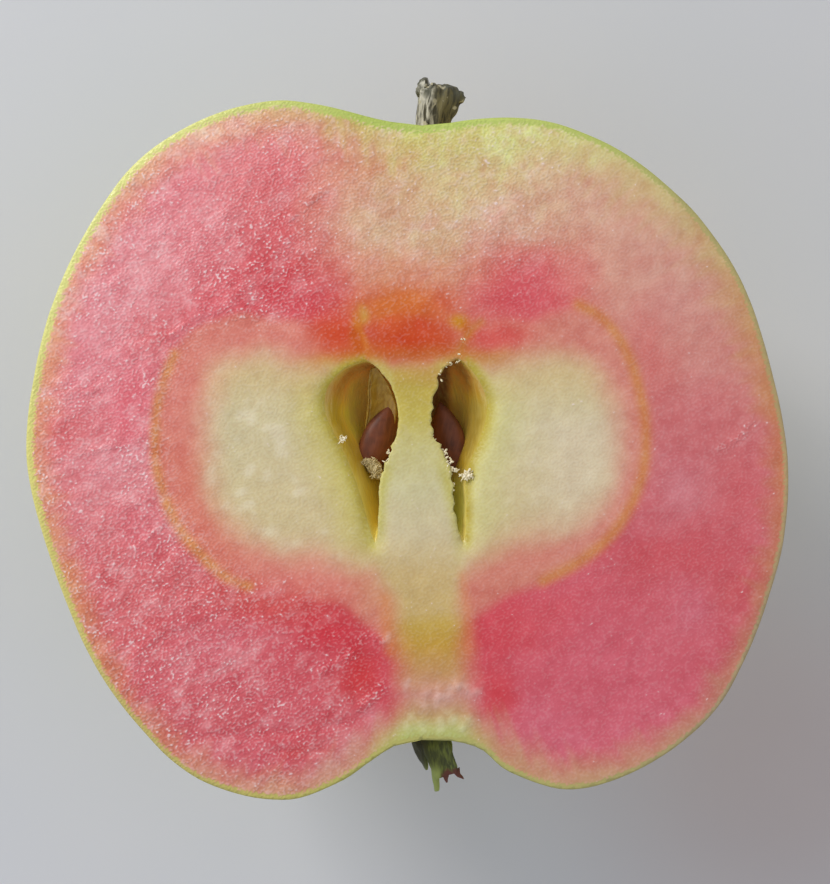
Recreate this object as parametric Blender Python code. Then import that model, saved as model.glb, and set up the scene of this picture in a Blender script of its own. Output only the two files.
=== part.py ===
"""Half of a red-fleshed apple, lying on its rounded back with the cut face up.

The knife passed in front of the core axis, so this is the larger half: it keeps the whole stem and the whole
dried calyx, and the cut opens two of the five seed chambers, with one seed in each. Metres, +Z up. X runs
across the apple, Y along the core towards the stem, and the origin is on the table under the middle.
"""

import math

import bmesh
import bpy
from mathutils import Matrix, Vector

MM = 0.001

# Driving dimensions, in millimetres.
CUT_HEIGHT = 44.0  # the cut face above the table
AXIS_DEPTH = 6.0  # the core axis below the cut face
AXIS_X = 1.5  # the core axis to the right of the apple's middle
AXIS_Z = CUT_HEIGHT - AXIS_DEPTH
AROUND = 76  # meridians round the apple
SMOOTHING = 3  # spline steps between two points of a meridian

# The apple's meridians, as (distance from the core axis, height along it). The left shoulder stands higher
# and the left cheek wider than the right ones.
MERIDIAN = (
    # place, right side, left side
    ("cavity floor", (0.0, 24.6), (0.0, 24.6)),
    ("cavity foot", (2.3, 25.3), (2.3, 25.2)),
    ("cavity wall", (4.0, 29.6), (4.0, 29.4)),
    ("cavity lip", (6.2, 31.6), (6.4, 31.6)),
    ("rim", (10.6, 32.1), (11.9, 33.5)),
    ("shoulder", (15.6, 31.3), (17.1, 33.9)),
    ("upper cheek", (21.9, 28.2), (24.0, 31.6)),
    ("cheek", (28.6, 21.8), (31.1, 25.6)),
    ("upper flank", (33.9, 13.0), (37.3, 14.0)),
    ("waist", (37.0, -1.4), (40.1, 0.8)),
    ("lower flank", (36.1, -12.8), (38.1, -10.4)),
    ("lower cheek", (31.3, -24.8), (33.3, -22.5)),
    ("heel", (26.4, -30.5), (27.0, -30.8)),
    ("under heel", (20.6, -33.8), (21.2, -34.7)),
    ("lobe", (15.4, -34.8), (14.8, -36.0)),
    ("lobe shoulder", (10.6, -33.1), (10.3, -34.5)),
    ("basin lip", (8.4, -30.7), (7.8, -32.6)),
    ("basin wall", (5.4, -29.3), (5.6, -30.0)),
    ("basin foot", (3.0, -27.9), (3.0, -28.0)),
    ("basin floor", (0.0, -27.4), (0.0, -27.4)),
)
RIBS = 5  # one for each seed chamber
RIB_DEPTH = 0.5  # between two ribs
RIB_HEIGHT = -35.0  # where the ribs are strongest
RIB_RADIUS = 10.0  # nearer the core axis than this they fade out
BACK_LIFT = 2.4  # how much shorter the apple's back is at the calyx end
BACK_LIFT_HEIGHTS = (-20.0, -34.0)  # from where it begins to where it is full
BACK_LIFT_RADII = (5.0, 13.0)

# Each seed chamber's mouth in the cut face, counterclockwise from its top, as (x, y).
LEFT_MOUTH = (
    (-3.7, 7.8), (-5.0, 7.6), (-6.7, 6.8), (-8.0, 5.0), (-8.1, 2.6), (-6.7, -0.6), (-5.4, -3.0),
    (-4.4, -6.2), (-3.1, -10.2), (-2.8, -7.4), (-2.7, -4.4), (-1.9, -1.8), (-0.9, 1.0),
    (-0.9, 3.2), (-1.7, 5.7),
)  # fmt: skip
RIGHT_MOUTH = (
    (5.3, 7.8), (3.6, 6.9), (2.6, 4.0), (2.4, 1.5), (3.0, -0.1), (4.4, -2.8), (4.6, -5.2),
    (4.9, -7.6), (5.7, -10.3), (6.0, -7.6), (5.9, -4.6), (6.3, -2.4), (7.2, -0.3), (7.9, 1.9),
    (8.0, 4.1), (7.0, 6.4),
)  # fmt: skip
CHAMBER_DEPTH = 7.5
CHAMBER_LEAN = 0.14  # sideways shift for each mm of depth, towards the axis
CHAMBER_ROUNDNESS = 3.4  # 2 is a round floor, more is a flatter one
CHAMBER_LEVELS = 7
CUTTER_RISE = 1.0  # how far a chamber's cutter starts above the cut face
BLOCK_WIDTH = 120.0  # of the blocks that cut the apple level

SEED_LENGTH, SEED_WIDTH, SEED_THICKNESS = 7.0, 3.8, 2.1
SEED_TAPER, SEED_POINT = 0.24, 0.35  # how much narrower the end towards the stem is, and how pointed
SEED_DEPTH = 4.0  # a seed's middle below the cut face
SEEDS = (
    # name, x, y, turn in the cut plane, roll about its length
    ("seed_left", -2.8, 0.9, -18, 12),
    ("seed_right", 4.5, 1.1, 12, -12),
)

# The stem's centreline, as (x, y, radius), with the broken spur end on top.
STEM_LINE = (
    (1.8, 25.25, 1.25), (1.9, 27.4, 1.2), (2.2, 29.8, 1.3), (2.6, 32.2, 1.5), (3.1, 34.4, 1.85),
    (3.5, 36.4, 2.1),
)  # fmt: skip

CALYX_X = 1.7
CALYX_TOP = -28.2  # just under the basin floor
CALYX_LEAN = 0.32  # sideways shift for each mm of length
CALYX_AROUND = 40
CALYX_LEVELS = 7
CUP_RADIUS, CUP_HEIGHT = 2.0, 1.8
SEPALS = 5
SEPAL_LENGTH, SEPAL_THICKNESS = 7.8, 0.6
SEPAL_CLOSING = 0.55  # how far the sepals lean in on each other
SEPAL_PINCH = 0.16  # how much the calyx is drawn in between two sepals
SEPAL_THINNING = 0.6  # how much thinner a sepal's tip is
SEPAL_SHARPNESS = 0.8  # 1 or more is a sharp tip, less is a blunt one


def clear_scene():
    for item in list(bpy.data.objects):
        bpy.data.objects.remove(item)


def new_collection(name, hidden=False):
    made = bpy.data.collections.new(name)
    made.hide_render = hidden
    bpy.context.scene.collection.children.link(made)
    return made


def new_material(name, colour, roughness):
    made = bpy.data.materials.new(name)
    made.use_nodes = True
    shader = made.node_tree.nodes["Principled BSDF"]
    shader.inputs["Base Color"].default_value = (*colour, 1)
    shader.inputs["Roughness"].default_value = roughness
    shader.inputs["Metallic"].default_value = 0
    return made


def smooth_line(points, steps, closed=False):
    """A Catmull-Rom spline through the points, with that many steps from each point to the next."""
    points = [Vector(p) for p in points]
    count = len(points)
    found = []
    for i in range(count if closed else count - 1):
        if closed:
            a, b, c, d = (points[(i + k) % count] for k in (-1, 0, 1, 2))
        else:
            b, c = points[i], points[i + 1]
            a = points[i - 1] if i else 2 * b - c
            d = points[i + 2] if i + 2 < count else 2 * c - b
        for k in range(steps):
            t = k / steps
            bend = (2 * a - 5 * b + 4 * c - d) * t**2 + (3 * b - a - 3 * c + d) * t**3
            found.append(b + ((c - a) * t + bend) / 2)
    return found if closed else [*found, points[-1]]


def loft(name, rings, material, collection):
    """A closed surface over rings of equal length. A single point or a flat ring closes each end."""
    mesh = bpy.data.meshes.new(name)
    shape = bmesh.new()
    rows = [[shape.verts.new(point) for point in ring] for ring in rings]
    for first, second in zip(rows, rows[1:]):
        for i in range(max(len(first), len(second))):
            corners = [first[i % len(first)], first[(i + 1) % len(first)]]
            corners += [second[(i + 1) % len(second)], second[i % len(second)]]
            shape.faces.new(dict.fromkeys(corners))
    for row in (rows[0], rows[-1]):
        if len(row) > 1:
            shape.faces.new(row)
    bmesh.ops.recalc_face_normals(shape, faces=shape.faces)
    shape.to_mesh(mesh)
    shape.free()
    mesh.materials.append(material)
    made = bpy.data.objects.new(name, mesh)
    collection.objects.link(made)
    return made


def add_boolean(target, other, operation):
    modifier = target.modifiers.new(other.name, "BOOLEAN")
    modifier.operation = operation
    modifier.solver = "EXACT"
    modifier.material_mode = "TRANSFER"
    modifier.object = other


def mark_cutter(item):
    item.hide_render = True
    item.display_type = "WIRE"


def add_block(name, low_z, high_z, material, collection):
    """A block wider than the apple, between two heights in millimetres."""
    bpy.ops.mesh.primitive_cube_add(size=1, location=(0, 0, (low_z + high_z) / 2 * MM))
    block = bpy.context.object
    block.name = name
    block.scale = (BLOCK_WIDTH * MM, BLOCK_WIDTH * MM, (high_z - low_z) * MM)
    bpy.ops.object.transform_apply(location=False, rotation=False, scale=True)
    block.data.materials.append(material)
    block.users_collection[0].objects.unlink(block)
    collection.objects.link(block)
    mark_cutter(block)
    return block


def rib_dent(azimuth, height):
    """How far the skin dips between two ribs. It fades out towards the stem and near the cut face."""
    towards_calyx = min(1, max(0, height / RIB_HEIGHT)) ** 2
    behind = max(0, -math.sin(azimuth)) ** 0.5
    wave = (1 + math.cos(RIBS * (azimuth + math.pi / 2))) / 2
    return RIB_DEPTH * wave * towards_calyx * behind


def ease(value, low, high):
    """0 at low, 1 at high and smooth in between."""
    share = min(1, max(0, (value - low) / (high - low)))
    return share * share * (3 - 2 * share)


def back_lift(azimuth, radius, height):
    """How far the lobes behind the calyx stay short of those beside it."""
    behind = max(0, -math.sin(azimuth))
    return BACK_LIFT * behind * ease(height, *BACK_LIFT_HEIGHTS) * ease(radius, *BACK_LIFT_RADII)


def apple_rings():
    """Rings round the core axis, from the cavity floor to the basin floor. Each meridian mixes both sides."""
    right = smooth_line([side for _, side, _ in MERIDIAN], SMOOTHING)
    left = smooth_line([side for _, _, side in MERIDIAN], SMOOTHING)
    rings = []
    for on_right, on_left in zip(right, left):
        ring = []
        for i in range(AROUND):
            azimuth = math.tau * i / AROUND
            place = on_left.lerp(on_right, (1 + math.cos(azimuth)) / 2)
            radius, height = place
            radius -= rib_dent(azimuth, height) * min(1, radius / RIB_RADIUS)
            height += back_lift(azimuth, radius, height)
            x = AXIS_X + radius * math.cos(azimuth)
            z = AXIS_Z + radius * math.sin(azimuth)
            ring.append(Vector((x, height, z)) * MM)
        rings.append(ring if on_right.x > 0 else ring[:1])
    return rings


def chamber_rings(mouth):
    """Level rings from above the mouth down to the chamber's floor, which lies nearer the core axis."""
    edge = smooth_line(mouth, 2, closed=True)
    middle = sum(edge, Vector((0, 0))) / len(edge)
    lean = math.copysign(CHAMBER_LEAN, AXIS_X - middle.x)
    rings = []
    for level in range(-1, CHAMBER_LEVELS + 1):
        share = math.sin(max(0, level) / CHAMBER_LEVELS * math.pi / 2)
        depth = share * CHAMBER_DEPTH
        size = max(0, 1 - share**CHAMBER_ROUNDNESS) ** (1 / CHAMBER_ROUNDNESS)
        z = CUT_HEIGHT - depth if level >= 0 else CUT_HEIGHT + CUTTER_RISE
        centre = middle + Vector((lean * depth, 0))
        ring = [Vector((*(centre + (p - middle) * size), z)) * MM for p in edge]
        rings.append(ring if size > 0 else ring[:1])
    return rings


def make_apple(parts, cutters, skin, flesh):
    apple = loft("apple_half", apple_rings(), skin, parts)
    knife = add_block("knife", CUT_HEIGHT, CUT_HEIGHT + 2 * AXIS_Z, flesh, cutters)
    table = add_block("table", -AXIS_Z, 0, skin, cutters)
    add_boolean(apple, knife, "DIFFERENCE")
    add_boolean(apple, table, "DIFFERENCE")
    for name, mouth in (("left_chamber", LEFT_MOUTH), ("right_chamber", RIGHT_MOUTH)):
        chamber = loft(name, chamber_rings(mouth), flesh, cutters)
        mark_cutter(chamber)
        add_boolean(apple, chamber, "DIFFERENCE")
    apple.data.shade_smooth()
    return apple


def make_seed(name, x, y, turn, roll, material, collection):
    """A flat drop with its point towards the stem, turned in the cut plane and rolled on its long axis."""
    mesh = bpy.data.meshes.new(name)
    shape = bmesh.new()
    bmesh.ops.create_uvsphere(shape, u_segments=20, v_segments=12, radius=1)
    for vert in shape.verts:
        along = vert.co.z
        taper = 1 - SEED_TAPER * (along + 1) / 2 - SEED_POINT * max(0, along) ** 2
        across = vert.co.x * taper * SEED_WIDTH / 2
        up = -vert.co.y * taper**0.5 * SEED_THICKNESS / 2
        vert.co = Vector((across, along * SEED_LENGTH / 2, up)) * MM
    shape.to_mesh(mesh)
    shape.free()
    mesh.shade_smooth()
    mesh.materials.append(material)
    seed = bpy.data.objects.new(name, mesh)
    seed.location = Vector((x, y, CUT_HEIGHT - SEED_DEPTH)) * MM
    turned = Matrix.Rotation(math.radians(turn), 3, "Z")
    seed.rotation_euler = (turned @ Matrix.Rotation(math.radians(roll), 3, "Y")).to_euler()
    collection.objects.link(seed)
    return seed


def tube(name, points, sides, material, collection):
    """A round bar along (point, radius) pairs in metres, as a welded mesh."""
    curve = bpy.data.curves.new(name, "CURVE")
    curve.dimensions = "3D"
    curve.bevel_depth = 1
    curve.bevel_resolution = sides // 2 - 2
    curve.use_fill_caps = True
    spline = curve.splines.new("POLY")
    spline.points.add(len(points) - 1)
    for target, (place, radius) in zip(spline.points, points):
        target.co = (*place, 1)
        target.radius = radius
    guide = bpy.data.objects.new(name + "_guide", curve)
    collection.objects.link(guide)
    graph = bpy.context.evaluated_depsgraph_get()
    mesh = bpy.data.meshes.new_from_object(guide.evaluated_get(graph))
    bpy.data.objects.remove(guide)
    shape = bmesh.new()
    shape.from_mesh(mesh)
    bmesh.ops.remove_doubles(shape, verts=shape.verts, dist=1e-6)
    bmesh.ops.recalc_face_normals(shape, faces=shape.faces)
    shape.to_mesh(mesh)
    shape.free()
    mesh.materials.clear()
    mesh.materials.append(material)
    mesh.shade_smooth()
    made = bpy.data.objects.new(name, mesh)
    collection.objects.link(made)
    return made


def make_stem(material, collection):
    line = smooth_line(STEM_LINE, 2)
    points = [(Vector((x, y, AXIS_Z)) * MM, radius * MM) for x, y, radius in line]
    return tube("stem", points, 14, material, collection)


def calyx_ring(share, inset):
    """A ring at that share of the sepals' length. An inset ring lies on their inside."""
    closing = 1 - SEPAL_CLOSING * (share - 0.5 * share**3)
    ring = []
    for i in range(CALYX_AROUND):
        azimuth = math.tau * i / CALYX_AROUND
        on_sepal = abs(math.cos(SEPALS * azimuth / 2))
        length = CUP_HEIGHT + (SEPAL_LENGTH - CUP_HEIGHT) * on_sepal**SEPAL_SHARPNESS
        outside = CUP_RADIUS * closing * (1 - SEPAL_PINCH * (1 - on_sepal))
        radius = outside - inset * (1 - SEPAL_THINNING * share)
        down = share * length
        x = CALYX_X + CALYX_LEAN * down + radius * math.cos(azimuth)
        ring.append(Vector((x, CALYX_TOP - down, AXIS_Z + radius * math.sin(azimuth))) * MM)
    return ring


def make_calyx(material, collection):
    """The dried calyx: a cup of five pointed sepals that close on each other and lean to the right."""
    levels = range(CALYX_LEVELS + 1)
    outside = [calyx_ring(k / CALYX_LEVELS, 0) for k in levels]
    inside = [calyx_ring(k / CALYX_LEVELS, SEPAL_THICKNESS) for k in reversed(levels[1:])]
    calyx = loft("calyx", [*outside, *inside], material, collection)
    calyx.data.shade_smooth()
    return calyx


def main():
    clear_scene()
    parts = new_collection("apple_half_parts")
    cutters = new_collection("cutters", hidden=True)
    skin = new_material("skin", (0.42, 0.47, 0.08), 0.35)
    flesh = new_material("flesh", (0.62, 0.16, 0.16), 0.45)
    seed_coat = new_material("seed_coat", (0.10, 0.025, 0.012), 0.3)
    bark = new_material("bark", (0.10, 0.085, 0.06), 0.85)
    dry_leaf = new_material("dry_leaf", (0.06, 0.07, 0.02), 0.8)

    make_apple(parts, cutters, skin, flesh)
    for name, x, y, turn, roll in SEEDS:
        make_seed(name, x, y, turn, roll, seed_coat, parts)
    make_stem(bark, parts)
    make_calyx(dry_leaf, parts)


main()
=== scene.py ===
"""Looks of a red-fleshed apple half: waxy skin, moist flesh, core, seed chambers, seeds, stem and calyx.

Lengths are millimetres, but for the lamps, and become metres where a mesh is made. X runs across the apple,
Y along its core towards the stem, and +Z points out of the cut face. The apple's colours are written as 8-bit
red, green and blue.
"""

import math

import bpy
import numpy as np
from mathutils import Matrix, Vector
from mathutils.geometry import delaunay_2d_cdt


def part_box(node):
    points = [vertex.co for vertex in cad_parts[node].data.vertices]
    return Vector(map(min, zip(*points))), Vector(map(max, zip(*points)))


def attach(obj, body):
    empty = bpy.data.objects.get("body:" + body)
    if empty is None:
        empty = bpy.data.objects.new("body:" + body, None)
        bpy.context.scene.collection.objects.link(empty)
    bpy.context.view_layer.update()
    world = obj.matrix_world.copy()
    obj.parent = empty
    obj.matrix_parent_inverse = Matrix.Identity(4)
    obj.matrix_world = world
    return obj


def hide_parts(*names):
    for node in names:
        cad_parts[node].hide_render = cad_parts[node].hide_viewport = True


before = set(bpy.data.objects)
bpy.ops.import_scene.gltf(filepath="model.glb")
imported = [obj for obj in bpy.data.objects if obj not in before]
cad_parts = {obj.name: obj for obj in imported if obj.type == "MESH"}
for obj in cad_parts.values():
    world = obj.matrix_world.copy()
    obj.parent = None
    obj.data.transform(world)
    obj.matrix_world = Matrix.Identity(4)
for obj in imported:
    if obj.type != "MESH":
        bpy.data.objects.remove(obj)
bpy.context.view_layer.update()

MM = 0.001
FAR = 99.0  # farther than any distance on the apple
TINY = 1e-12  # keeps a division from failing
CHUNK = 1000  # points handled at once where every point meets every edge
LIGHT = 0.80  # how bright the scene's light leaves a white surface
DARKEST, LIGHTEST = 0.005, 0.95  # of any paint

# Noise. Its lattice repeats, and is turned away from the axes.
NOISE_CELLS = 32
NOISE_START = 100  # where in the lattice the apple's middle lies
NOISE_TURN = np.array(
    Matrix.Rotation(0.7, 3, "X") @ Matrix.Rotation(0.5, 3, "Y") @ Matrix.Rotation(0.4, 3, "Z")
)
KNIFE_TURN = np.array(Matrix.Rotation(math.radians(-34), 2))  # turns the knife's streaks level

# The apple's form, the same as the CAD's.
CUT_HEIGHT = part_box("apple_half")[1].z / MM
AXIS_DEPTH = 6.0  # the core axis below the cut face
AXIS_X = 1.5
AXIS_Z = CUT_HEIGHT - AXIS_DEPTH
MERIDIAN = (
    # place, right side, left side, as (distance from the core axis, height along it)
    ("cavity floor", (0.0, 24.6), (0.0, 24.6)),
    ("cavity foot", (2.3, 25.3), (2.3, 25.2)),
    ("cavity wall", (4.0, 29.6), (4.0, 29.4)),
    ("cavity lip", (6.2, 31.6), (6.4, 31.6)),
    ("rim", (10.6, 32.1), (11.9, 33.5)),
    ("shoulder", (15.6, 31.3), (17.1, 33.9)),
    ("upper cheek", (21.9, 28.2), (24.0, 31.6)),
    ("cheek", (28.6, 21.8), (31.1, 25.6)),
    ("upper flank", (33.9, 13.0), (37.3, 14.0)),
    ("waist", (37.0, -1.4), (40.1, 0.8)),
    ("lower flank", (36.1, -12.8), (38.1, -10.4)),
    ("lower cheek", (31.3, -24.8), (33.3, -22.5)),
    ("heel", (26.4, -30.5), (27.0, -30.8)),
    ("under heel", (20.6, -33.8), (21.2, -34.7)),
    ("lobe", (15.4, -34.8), (14.8, -36.0)),
    ("lobe shoulder", (10.6, -33.1), (10.3, -34.5)),
    ("basin lip", (8.4, -30.7), (7.8, -32.6)),
    ("basin wall", (5.4, -29.3), (5.6, -30.0)),
    ("basin foot", (3.0, -27.9), (3.0, -28.0)),
    ("basin floor", (0.0, -27.4), (0.0, -27.4)),
)
RIBS = 5  # round the whole apple
RIB_DEPTH = 0.5
RIB_HEIGHT = -35.0  # where they are deepest
RIB_RADIUS = 10.0  # nearer to the core axis they fade out
BACK_LIFT = 2.4  # how much shorter the back is than the sides at the calyx end
BACK_LIFT_HEIGHTS = (-20.0, -34.0)  # where that begins and is full
BACK_LIFT_RADII = (5.0, 13.0)
FLAT_SPOT_SOFTNESS = 0.2  # how softly the back flattens where it rests on the table
FLAT_SPOT_REACH = 3.0  # how high above the table that is felt

# Fineness of the apple's mesh.
SKIN_STEP = 0.75  # along a meridian
SKIN_COLUMNS = 128  # round the back
MERIDIAN_SAMPLES = 4001  # where a meridian's length is measured
HALVINGS = 40  # in the search for the edge of the cut face
FACE_STEP = 0.285  # between points of the cut face
FACE_JITTER = 0.22  # in steps
MOUTH_STEPS = 10  # between two points of a chamber's mouth
LINE_STEPS = 6  # between two points of a line on the cut face
ZONE_STEPS = 4  # between two points of a zone's outline

# Each seed chamber's mouth, counterclockwise from its top, as (x, y, raggedness, softness). A soft edge
# slopes gently into the chamber.
LEFT_MOUTH = (
    (-3.7, 7.8, 0.4, 0.1), (-5.0, 7.6, 0.2, 0.1), (-6.7, 6.8, 0.1, 0.3), (-8.0, 5.0, 0.0, 0.8),
    (-8.1, 2.6, 0.1, 1.0), (-6.8, -0.2, 0.4, 1.0), (-5.6, -2.8, 0.1, 1.0), (-4.6, -5.6, 0.1, 0.9),
    (-3.2, -10.2, 0.1, 0.8), (-2.8, -7.4, 0.2, 0.2), (-2.7, -4.4, 0.4, 0.1), (-1.9, -1.8, 1.0, 0.0),
    (-0.9, 1.0, 0.3, 0.0), (-0.9, 3.2, 0.1, 0.2), (-1.7, 5.7, 0.4, 0.2),
)
RIGHT_MOUTH = (
    (5.3, 8.0, 0.8, 0.0), (3.5, 6.9, 0.9, 0.0), (2.7, 4.0, 0.6, 0.0), (2.4, 1.5, 1.0, 0.0),
    (3.0, -0.1, 1.0, 0.0), (4.4, -2.8, 1.0, 0.0), (4.6, -5.2, 0.7, 0.0), (4.9, -7.6, 0.5, 0.1),
    (5.7, -10.3, 0.2, 0.6), (6.0, -7.6, 0.1, 1.0), (5.9, -4.6, 0.1, 1.0), (6.3, -2.4, 0.1, 1.0),
    (7.2, -0.3, 0.0, 1.0), (7.9, 1.9, 0.0, 1.0), (8.0, 4.1, 0.0, 1.0), (7.0, 6.4, 0.2, 0.4),
)
TORN_SIZE = 0.26  # how far a torn edge strays
CHAMBER_DEPTH = 7.3
CHAMBER_LEAN = 0.30  # sideways shift for each mm of depth, towards the core axis
CHAMBER_ROUNDNESS = 2.3
CHAMBER_LEVELS = 26
CHAMBER_SLOPE = 0.20  # how much of a chamber's width the slope under a soft edge takes
CHAMBER_SLOPE_REACH = 0.10  # in parts of the depth
CHAMBER_CALM_REACH = 0.15  # the part of the depth over which the walls lose the torn edge's raggedness
ROUNDING_PASSES = 8  # how smooth the walls are below that
SLOPE_REACH = 1.8  # how far from a soft edge the cut face slopes down
SLOPE_DROP = 0.6
MOUTH_REACH = 8.0  # distances from the mouths are measured up to this
LINE_REACH = 3.0  # and distances from a line up to this

# Tears of the cut face, as (points, width, height). Raised ones glisten. Grooves have a height below zero.
TEARS = (
    (((-30.6, 8.2), (-27.8, 9.3), (-25.4, 9.7)), 0.45, 0.10),
    (((-24.6, 9.9), (-23.4, 10.6), (-22.2, 11.5)), 0.40, 0.16),
    (((-21.4, 12.2), (-18.6, 13.6), (-16.0, 15.7)), 0.50, 0.12),
    (((-18.0, 22.8), (-17.0, 23.8), (-16.1, 25.9)), 0.40, 0.16),
    (((-12.0, 21.7), (-10.2, 23.3), (-8.4, 25.0)), 0.45, 0.14),
    (((-9.8, 22.4), (-8.0, 24.0)), 0.9, -0.05),
    (((-36.0, -2.3), (-33.4, -1.2), (-31.0, -0.8), (-28.4, -0.5)), 0.45, 0.14),
    (((-36.2, -3.8), (-33.0, -3.0), (-29.4, -3.6)), 0.45, 0.10),
    (((-34.6, 4.4), (-32.2, 4.9), (-30.6, 5.2)), 0.45, 0.10),
    (((-9.0, -23.4), (-7.4, -22.6), (-5.6, -21.3)), 0.45, 0.16),
    (((-4.6, -26.8), (-3.6, -25.7), (-2.4, -24.7)), 0.40, 0.18),
    (((-4.9, -20.2), (-3.8, -19.6), (-2.6, -20.0)), 0.40, 0.12),
    (((-21.0, -29.9), (-14.0, -29.4), (-9.0, -28.9), (-4.4, -27.9)), 0.7, -0.16),
    (((-13.0, -31.0), (-9.6, -31.3), (-7.4, -30.2)), 0.5, -0.14),
    (((-24.6, -26.6), (-22.4, -26.4), (-20.4, -25.4)), 0.5, 0.10),
    (((-24.4, -22.0), (-21.6, -20.0), (-18.0, -18.4)), 0.5, 0.08),
    (((31.4, -0.8), (33.2, 0.2), (34.6, 1.7)), 0.35, 0.10),
    (((7.3, 11.7), (6.0, 10.4), (5.6, 9.2), (5.3, 8.2)), 0.40, -0.06),
)
# Pale loose tissue by the calyx end of the core, as (points, width, height). Its lower streaks are greenish.
PALE_STREAKS = (
    (((0.2, -28.9), (0.5, -27.7)), 0.45, 0.06), (((1.6, -29.0), (1.4, -27.9)), 0.45, 0.06),
    (((3.4, -28.9), (3.7, -27.4)), 0.50, 0.08), (((4.6, -28.2), (4.9, -27.2)), 0.40, 0.05),
    (((5.5, -28.9), (6.2, -28.0)), 0.50, 0.08), (((1.6, -26.9), (2.1, -25.2)), 0.60, 0.08),
    (((3.0, -26.3), (3.3, -24.9)), 0.45, 0.08), (((3.9, -25.7), (4.9, -24.6)), 0.70, 0.10),
    (((5.2, -24.6), (6.3, -25.2), (7.3, -24.7)), 0.45, 0.10), (((-0.2, -25.0), (0.1, -24.0)), 0.35, 0.06),
    (((-2.1, -20.4), (-1.8, -19.6)), 0.35, 0.08),
)
GREENISH_HEIGHT = -27.2

# Tufts of short torn strands along the chambers' mouths, as (x, y, spread in x, spread in y, count).
TORN_TUFTS = (
    (5.6, 9.4, 0.10, 0.6, 6), (5.35, 8.3, 0.2, 0.35, 12), (4.4, 7.6, 0.5, 0.15, 6), (3.3, 6.4, 0.15, 0.3, 4),
    (2.7, 0.0, 0.2, 0.6, 7), (3.6, -1.4, 0.35, 0.45, 22), (4.1, -2.3, 0.3, 0.45, 24),
    (4.7, -3.0, 0.5, 0.2, 18), (4.6, -5.5, 0.1, 1.4, 8), (-1.6, -1.4, 0.15, 0.5, 6),
    (-2.1, -2.3, 0.15, 0.4, 5), (6.2, -3.5, 0.4, 0.35, 24), (6.0, -3.5, 0.40, 0.32, 60),
    (-6.4, 0.1, 0.30, 0.26, 16),
)

SEED_SIZE = (7.3, 3.9, 2.3)  # length, width, thickness

# Fineness of the small parts.
SEED_SIDES = 40
STEM_SIDES = 72
CUP_SIDES = 44
LEAF_COLUMNS = 13  # across a sepal

FLOOR_SHADOW_SPOT = (46.0, -40.0, 0.0)  # where the painted shadow on the floor is darkest
FLOOR_SHADOW_REACH = (4.0, 37.0)  # the painted shadow fades out between these distances from there

# The camera stands as near as a hand-held one would, so that the cut face hides the back.
FIELD_WIDTH = 83.0  # what it sees at the cut face
CAMERA_AIM = (0.85, -0.2)
CAMERA_DISTANCE = 210.0
SENSOR_WIDTH = 36.0


def seen(red, green, blue):
    """The surface colour that looks like this 8-bit colour under the scene's light."""
    parts = [c / 255 for c in (red, green, blue)]
    return np.array([(c / 12.92 if c <= 0.04045 else ((c + 0.055) / 1.055) ** 2.4) / LIGHT for c in parts])


def smoothstep(low, high, values):
    share = np.clip((values - low) / (high - low), 0, 1)
    return share * share * (3 - 2 * share)


def bell(values):
    """1 where a value is 0, and next to nothing past 2."""
    return np.exp(-(values**2))


def grain(points, size, seed):
    """Smooth noise from -1 to 1 at each point, with lumps of that size."""
    table = np.random.default_rng(seed).uniform(-1, 1, (NOISE_CELLS, NOISE_CELLS, NOISE_CELLS))
    wide = np.zeros((len(points), 3))
    wide[:, : points.shape[1]] = points
    wide = wide @ NOISE_TURN.T / size + NOISE_START
    low = np.floor(wide).astype(int)
    share = smoothstep(0, 1, wide - low)
    found = np.zeros(len(points))
    for corner in np.ndindex(2, 2, 2):
        weight = np.prod(np.where(corner, share, 1 - share), axis=1)
        i, j, k = ((low + corner) % NOISE_CELLS).T
        found += weight * table[i, j, k]
    return found


def grain_shift(points, size, seed):
    """Smooth noise for each coordinate of each point."""
    return np.column_stack([grain(points, size, seed + k) for k in range(points.shape[1])])


def slanted(points, stretch):
    """The points as seen by noise that is stretched along the knife's slant."""
    return points @ KNIFE_TURN.T / (stretch, 1)


def spline(points, places):
    """A Catmull-Rom spline, read at each place along it. Place 1.5 is midway between points 1 and 2."""
    points = np.array(points, float)
    points = np.vstack([2 * points[0] - points[1], points, 2 * points[-1] - points[-2]])
    first = np.clip(places.astype(int), 0, len(points) - 4)
    t = (places - first)[:, None]
    a, b, c, d = (points[first + k] for k in range(4))
    return b + ((c - a) * t + (2 * a - 5 * b + 4 * c - d) * t**2 + (3 * b - a - 3 * c + d) * t**3) / 2


def smooth_line(points, steps):
    return spline(points, np.linspace(0, len(points) - 1, (len(points) - 1) * steps + 1))


def closed_spline(points, steps):
    """A closed Catmull-Rom spline, with that many steps from each point to the next."""
    count = len(points)
    wrapped = [points[-1], *points, points[0], points[1]]
    return spline(wrapped, 1 + np.arange(count * steps) / steps)


def segment_distance(points, start, end, reach):
    """Distance from each point to the nearest of the segments. Points out of reach are given the reach."""
    along_x, along_y = (end - start).T
    length = np.maximum(along_x**2 + along_y**2, TINY)
    found = np.full(len(points), reach)
    low, high = np.minimum(start, end).min(0) - reach, np.maximum(start, end).max(0) + reach
    near = np.nonzero(((points > low) & (points < high)).all(1))[0]
    for first in range(0, len(near), CHUNK):
        some = near[first : first + CHUNK]
        away_x = points[some, 0:1] - start[:, 0]
        away_y = points[some, 1:2] - start[:, 1]
        share = np.clip((away_x * along_x + away_y * along_y) / length, 0, 1)
        away_x -= share * along_x
        away_y -= share * along_y
        found[some] = np.sqrt((away_x**2 + away_y**2).min(1))
    return np.minimum(found, reach)


def line_distance(points, line):
    line = smooth_line(line, LINE_STEPS)
    return segment_distance(points, line[:-1], line[1:], LINE_REACH)


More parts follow.
